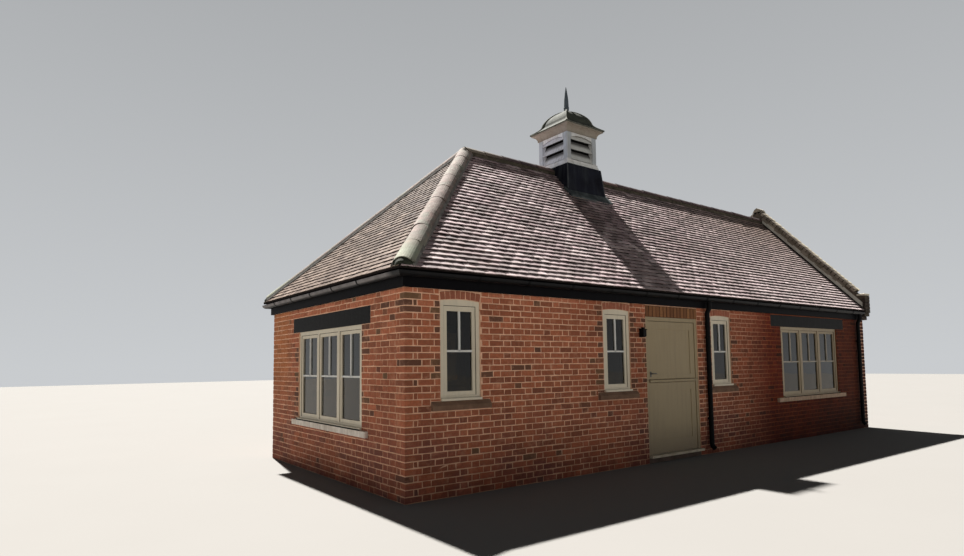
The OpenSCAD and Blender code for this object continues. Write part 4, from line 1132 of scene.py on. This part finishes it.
def finish_ridge():
    """Dark reddish-brown ridge tiles."""
    f = Finish("ridge_tile")
    f.colour = f.toned((rgb(58, 48, 52), rgb(76, 60, 60), rgb(100, 78, 74)))
    f.blend(f.patches(7, 5, 0.65, 0.48, 0.7, 0.4), rgb(118, 100, 94))
    height = f.plus(f.part(f.place, "Z"), f.patches(20, 4, 0.55, 0.3, 0.7, 0.006, -0.006))
    f.blend(f.reach(height, RIDGE_Z + 0.012, RIDGE_Z + 0.030), rgb(44, 42, 52))
    f.blend(f.along("X", RIDGE_X + 0.9, RIDGE_X + 0.3, 0.0, 0.7), rgb(122, 114, 100))
    f.coat("lichen", crust=rgb(140, 130, 118), amount=0.25)
    return f.end(f.grain(90, 0.5, 0.003), 0.85, 0.3)


def finish_coping(name, outer_edge, tones):
    """Weathered bricks from dark to pale tones, paler towards the parapet's outer edge."""
    f = Finish(name)
    f.colour = f.toned(tones)
    f.blend(f.patches(6, 5, 0.65, 0.45, 0.68, 0.6), rgb(84, 80, 62))
    ragged = f.plus(f.part(f.place, "X"), f.patches(24, 5, 0.55, 0.3, 0.7, 0.018, -0.018))
    f.blend(f.reach(ragged, outer_edge - 0.12, outer_edge - 0.08), rgb(212, 202, 180))
    f.coat("lichen", crust=rgb(150, 142, 120), scale=28.0, amount=0.3)
    return f.end(f.grain(100, 0.6, 0.003), 0.9, 0.25)


def painted(name, paint):
    """Brushed paint on timber, with its colour, its grain and its roughness."""
    f = Finish(name, paint)
    f.tint(f.patches(1.6, 3, 0.55, 0.3, 0.7, 0.35), rgb(226, 222, 214))
    return f, f.grain(240, 0.25, 0.001, 0.08), f.patches(30, 4, 0.55, 0.3, 0.7, 0.58, 0.42)


def finish_paint(name, paint, sooty=False):
    """Paint on windows and mouldings, dusty and a little streaked."""
    f, brushed, rough = painted(name, paint)
    # Painted shade: the paint grows darker towards the gable along the front wall.
    if sooty:
        f.soot(rgb(200, 188, 170), rgb(196, 194, 190))
    f.coat("streaks", streak=between(0.5, paint, rgb(96, 88, 74)), scale=22.0, amount=0.25)
    return f.end(brushed, rough, 0.4)


def finish_door():
    """Olive-cream paint, dirty along the foot, with a shadow line over the upper leaf's moulding."""
    f, brushed, rough = painted("door_paint", DOOR_PAINT)
    f.coat("streaks", streak=rgb(124, 108, 86), scale=16.0, amount=0.3)
    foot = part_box("lower_door_leaf")[0].z
    edge = f.plus(f.part(f.place, "Z"), f.patches(9, 5, 0.55, 0.3, 0.7, 0.05, -0.05))
    f.blend(f.reach(edge, foot + 0.42, foot + 0.02, 0.0, 0.45), rgb(104, 88, 78))
    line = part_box("upper_door_leaf")[0].z + 0.038
    f.blend(f.times(f.along("Z", line - 0.002, line), f.along("Z", line + 0.010, line + 0.004, 0.0, 0.85)),
            rgb(44, 38, 30))
    return f.end(brushed, rough, 0.4)


def finish_cupola(name, left, right, part=None):
    """Flaking pale paint on the cupola, with painted light: a lighter tone on its hip side, a darker one on
    its front.
    The posts are greyer than the rails, and each louvre's head carries painted shade under the gap above it."""
    f = Finish(name)
    # Painted light: a lighter tone on the hip side, as under open sky, and a darker one on the front, as in
    # shade.
    turn = f.minus(f.minus(f.part(f.place, "X"), CUPOLA_X), f.minus(f.part(f.place, "Y"), MIDDLE_Y))
    f.colour = f.mix(f.reach(turn, -0.02, 0.02), left, right)
    if part == "posts":
        away = f.math("ABSOLUTE", turn)
        post = f.math("MAXIMUM", f.reach(away, 0.125, 0.105), f.reach(away, 0.63, 0.65))
        f.tint(f.times(post, f.along("Z", CUPOLA[0].z + 0.10, CUPOLA[0].z + 0.13)), rgb(206, 212, 218))
    f.tint(f.patches(6, 5, 0.65, 0.45, 0.7, 0.4), rgb(206, 200, 186))
    f.coat("streaks", streak=f.mix(0.6, f.colour, rgb(104, 84, 66)), scale=20.0)
    if part == "louvres":
        low, higher = sorted({round(box[0][2], 3) for box in solids_of("cupola_louvres")})[:2]
        board = f.math("FRACT", f.math("DIVIDE", f.minus(f.part(f.place, "Z"), low), higher - low))
        # Painted shade on the upper part of each louvre board, under the gap above it.
        f.blend(f.reach(board, 0.42, 0.76, 0.0, 0.84), rgb(40, 37, 36))
    return f.end(f.grain(160, 0.35, 0.0015), f.patches(30, 4, 0.55, 0.3, 0.7, 0.75, 0.55), 0.3)


def finish_black(name, colour, rough, streak, gloss):
    """Black paint on boards and iron, with dust in streaks."""
    f = Finish(name, colour)
    f.coat("streaks", streak=streak, scale=16.0)
    return f.end(f.grain(150, 0.2, 0.001), (rough - 0.08, rough + 0.1), gloss)


def finish_dusty_gutter():
    """Black gloss paint on the hip end's gutter with a painted grey sheen along its upper side, still black
    at its front end and along its foot.
    """
    f = Finish("dusty_gutter", rgb(14, 13, 14))
    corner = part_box("hip_gutter")[0]
    # Painted sheen: a grey reflection of the sky in the gloss paint, kept off the front end and the foot.
    dust = f.mix(f.patches(7, 5, 0.6, 0.35, 0.65), rgb(124, 118, 117), rgb(96, 91, 90))
    upper = f.along("Z", corner.z + 0.008, corner.z + 0.024)
    f.blend(f.times(f.along("Y", corner.y + 0.16, corner.y + 0.34), upper), dust)
    return f.end(f.grain(150, 0.2, 0.001), (0.5, 0.7), 0.3)


def clouded_stone(f, light, dark):
    return f.mix(f.patches(8, 6, 0.65, 0.35, 0.7), light, dark)


def finish_stone(name, light, dark):
    """Pale sills with damp edges."""
    f = Finish(name)
    f.colour = clouded_stone(f, light, dark)
    f.coat("streaks", streak=between(0.6, light, rgb(92, 78, 64)), scale=18.0)
    return f.end(f.grain(130, 0.4, 0.002), 0.88, 0.3)


def finish_sill_stone():
    """Stone sills: pale on the hip end, brown under the front window."""
    f = Finish("sill_stone")
    f.colour = clouded_stone(f, rgb(232, 222, 210), rgb(204, 190, 174))
    brown = clouded_stone(f, rgb(192, 164, 140), rgb(158, 132, 110))
    f.blend(f.along("X", WALL_X0 + 0.5, WALL_X0 + 1.0), brown)
    f.coat("streaks", streak=rgb(96, 82, 68), scale=18.0, amount=0.4)
    return f.end(f.grain(130, 0.4, 0.002), 0.88, 0.3)


# Sheet lead in its light, dark and streaked tones
LEADS = {
    "roof": (rgb(68, 70, 62), rgb(48, 52, 48), rgb(84, 86, 76)),
    "side": (rgb(196, 192, 180), rgb(164, 160, 150), rgb(206, 202, 190)),
    "roll": (rgb(88, 88, 78), rgb(68, 70, 64), rgb(102, 102, 92)),
    "spike": (rgb(84, 92, 98), rgb(62, 70, 76), rgb(104, 110, 112)),
    "base": (rgb(28, 30, 40), rgb(14, 14, 22), rgb(62, 66, 68)),
    "apron": (rgb(74, 80, 80), rgb(34, 37, 42), rgb(110, 114, 112)),
    # The base's corner rolls are lighter than the base: partly patina, partly a painted highlight along each
    # roll.
    "seam": (rgb(76, 80, 82), rgb(40, 42, 48), rgb(104, 108, 108)),
}


def finish_lead(name, shade):
    """Dull weathered sheet lead in one of its shades."""
    light, dark, streak = LEADS[shade]
    f = Finish(name)
    f.colour = f.mix(f.patches(4, 5, 0.6, 0.35, 0.7), light, dark)
    f.coat("streaks", streak=streak, scale=12.0, amount=0.45)
    return f.end(f.grain(34, 0.25, 0.003), (0.75, 0.95), 0.12)


def finish_glass():
    """Window glass with a faint film of dust."""
    f = Finish("window_glass")
    ripple = f.add("Bump", {"Height": f.noise(f.place, 3.0, 2.0), "Strength": 0.04, "Distance": 0.02})
    return f.surface({"Base Color": f.mix(f.noise(f.place, 2.0), rgb(78, 68, 50), rgb(92, 82, 62)),
                      "Roughness": f.patches(40, 5, 0.55, 0.4, 0.8, 0.06), "Normal": ripple["Normal"],
                      "IOR": 1.35, "Transmission Weight": 1.0})


def dress_frame():
    """Gives every node of the frame its finish."""
    bed = rgb(238, 190, 158), rgb(212, 164, 134)
    looks = [
        (finish_mortar("brick_mortar", *bed, sooty=True),
         "front_wall_left front_wall_over_door front_wall_right hip_end_wall back_wall small_window_arches"),
        (finish_mortar("gable_mortar", *bed, rgb(92, 82, 72)), "far_gable_wall"),
        (finish_mortar("soldier_mortar", rgb(78, 54, 40), rgb(54, 38, 30)), "door_soldier_arch"),
        (finish_mortar("hip_mortar", rgb(84, 78, 66), rgb(50, 46, 38)),
         "front_hip_tiles back_hip_tiles ridge_tiles "
         "parapet_coping_front parapet_coping_back parapet_kneelers"),
        (finish_underlay(), "front_roof_slope back_roof_slope hip_roof_slope"),
        (finish_paint("window_paint", WINDOW_PAINT, sooty=True),
         "small_window_frames small_window_sashes "
         "front_window_frame hip_window_frame large_window_casements"),
        (finish_door(), "door_frame upper_door_leaf lower_door_leaf"),
        # Each cupola finish takes two tones of painted light: lighter on the hip side, darker on the front.
        (finish_cupola("cupola_paint", rgb(244, 246, 255), rgb(206, 206, 204), "posts"), "cupola_frame"),
        (finish_cupola("louvre_paint", rgb(238, 240, 252), rgb(196, 196, 192), "louvres"), "cupola_louvres"),
        (finish_cupola("cornice_paint", rgb(156, 146, 138), rgb(138, 130, 118)), "cupola_cornice"),
        (finish_dusty_gutter(), "hip_gutter"),
        (finish_sill_stone(), "stone_sills"),
        (finish_glass(), "small_window_glass large_window_glass")]
    looks += [(finish_black(name, rgb(*colour), rough, rgb(*streak), gloss), names)
              for name, colour, rough, streak, gloss, names in (
        ("gutter_paint", (12, 12, 14), 0.5, (30, 28, 27), 0.15, "front_gutter back_gutter"),
        ("painted_iron", (9, 9, 10), 0.6, (20, 18, 18), 0.12,
         "gutter_brackets downpipes downpipe_clips wall_lantern"),
        ("black_board_paint", (6, 5, 8), 0.6, (14, 13, 17), 0.08, "front_fascia hip_fascia back_fascia"),
        ("lintel_paint", (13, 12, 13), 0.65, (30, 28, 28), 0.18, "lintel_boards"),
        ("dark_lining", (10, 10, 11), 0.8, (20, 20, 20), 0.1, "cupola_lining"),
        ("dull_steel", (92, 90, 86), 0.45, (60, 58, 54), 0.3,
         "door_handle upper_leaf_hinges lower_leaf_hinges frame_hinges"))]
    looks += [(finish_lead(name, shade), node) for name, shade, node in (
        ("roof_lead", "roof", "cupola_roof"), ("hip_roll_lead", "roll", "cupola_hip_rolls"),
        ("spike_lead", "spike", "cupola_finial"), ("flashing_lead", "apron", "parapet_flashing"),
        ("base_lead", "base", "cupola_plinth"), ("apron_lead", "apron", "cupola_apron"))]
    looks += [(finish_stone(name, rgb(*light), rgb(*dark)), names) for name, light, dark, names in (
        ("threshold_stone", (196, 184, 162), (168, 152, 130), "door_threshold"),
        ("brown_sill", (130, 100, 80), (98, 74, 58), "small_window_sills"),
        ("worn_concrete", (98, 80, 70), (70, 57, 49), "floor_slab door_step"))]
    missing = set(NODES)
    for material, names in looks:
        for name in names.split():
            slots = NODES[name].data.materials
            slots.clear()
            slots.append(material)
            missing.remove(name)
    if missing:
        raise ValueError(f"nodes without a finish: {sorted(missing)}")


# Studio

PHOTO_WIDTH = 964
FOCAL_PIXELS = 613.07
CAMERA_PLACE = (-9.165, -8.178, 1.517)
CAMERA_YAW = 0.641
CAMERA_PITCH = 0.0741
CAMERA_ROLL = -0.0127
CAMERA_SHIFT = (-0.00127, 0.0416)
SENSOR = 36.0
SUN_FROM = (0.094, 0.571, 0.816)    # towards the sun: behind the building and a little right
SUN_STRENGTH = 17.0
FLOOR_HALF = 60.0
FLOOR_Z = -0.002


def set_camera():
    yaw, pitch = CAMERA_YAW, CAMERA_PITCH
    ahead = Vector((math.sin(yaw) * math.cos(pitch), math.cos(yaw) * math.cos(pitch), math.sin(pitch)))
    level = Vector((math.cos(yaw), -math.sin(yaw), 0))
    right = level * math.cos(CAMERA_ROLL) + level.cross(ahead) * math.sin(CAMERA_ROLL)
    data = bpy.data.cameras.new("camera")
    data.sensor_width = SENSOR
    data.lens = FOCAL_PIXELS * SENSOR / PHOTO_WIDTH
    data.shift_x, data.shift_y = CAMERA_SHIFT
    camera = put("camera", data)
    turn = Matrix((right, right.cross(ahead), -ahead)).transposed()
    camera.matrix_world = Matrix.Translation(CAMERA_PLACE) @ turn.to_4x4()
    bpy.context.scene.camera = camera


def set_light():
    """One sun, and a soft sky that lights from low down and looks plain to the camera."""
    sun = bpy.data.lights.new("sun", "SUN")
    sun.energy = SUN_STRENGTH
    sun.angle = math.radians(1.2)
    sun.color = (1.0, 0.97, 0.93)
    lamp = put("sun", sun)
    lamp.rotation_mode = "QUATERNION"
    lamp.rotation_quaternion = Vector(SUN_FROM).to_track_quat("Z", "Y")
    world = bpy.data.worlds.new("studio")
    world.use_nodes = True
    s = Shade(world.node_tree)
    upward = s.part(s.add("TexCoord", {})["Generated"], "Z")
    seen = s.add("LightPath", {})["Is Camera Ray"]
    lit = s.times(s.reach(upward, 0.0, 0.45, 0.76, 0.08), s.minus(1.0, seen))
    backdrop = s.times(seen, s.reach(upward, 0.0, 0.6, 0.62, 0.40))
    sky = s.add("Background", {"Color": (0.94, 0.97, 1.0, 1.0), "Strength": s.plus(lit, backdrop)})
    s.add("OutputWorld", {"Surface": sky[0]})
    bpy.context.scene.world = world
    bpy.context.scene.view_settings.view_transform = "Standard"


def set_floor():
    mesh = bpy.data.meshes.new("floor")
    corners = [(x * FLOOR_HALF, y * FLOOR_HALF, FLOOR_Z) for x, y in ((-1, -1), (1, -1), (1, 1), (-1, 1))]
    mesh.from_pydata(corners, [], [(0, 1, 2, 3)])
    f = Finish("studio_floor")
    tint = f.mix(f.noise(f.place, 0.5, 2.0), (0.178, 0.173, 0.164, 1), (0.186, 0.181, 0.172, 1))
    mesh.materials.append(f.surface({"Base Color": tint, "Roughness": 0.95, "Specular IOR Level": 0.1}))
    floor = put("floor", mesh)
    floor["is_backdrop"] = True


for step in (set_camera, set_light, set_floor, dress_frame, build_brickwork, build_roof, build_cappings):
    step()
mortar_bed = finish_mortar("coping_mortar", rgb(44, 40, 35), rgb(28, 25, 22))
build_coping(mortar_bed)
build_kneelers(mortar_bed)
build_upturn()
build_window_joinery()
build_door_moulding()
build_louvre_heads()
build_leadwork()

visual_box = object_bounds()
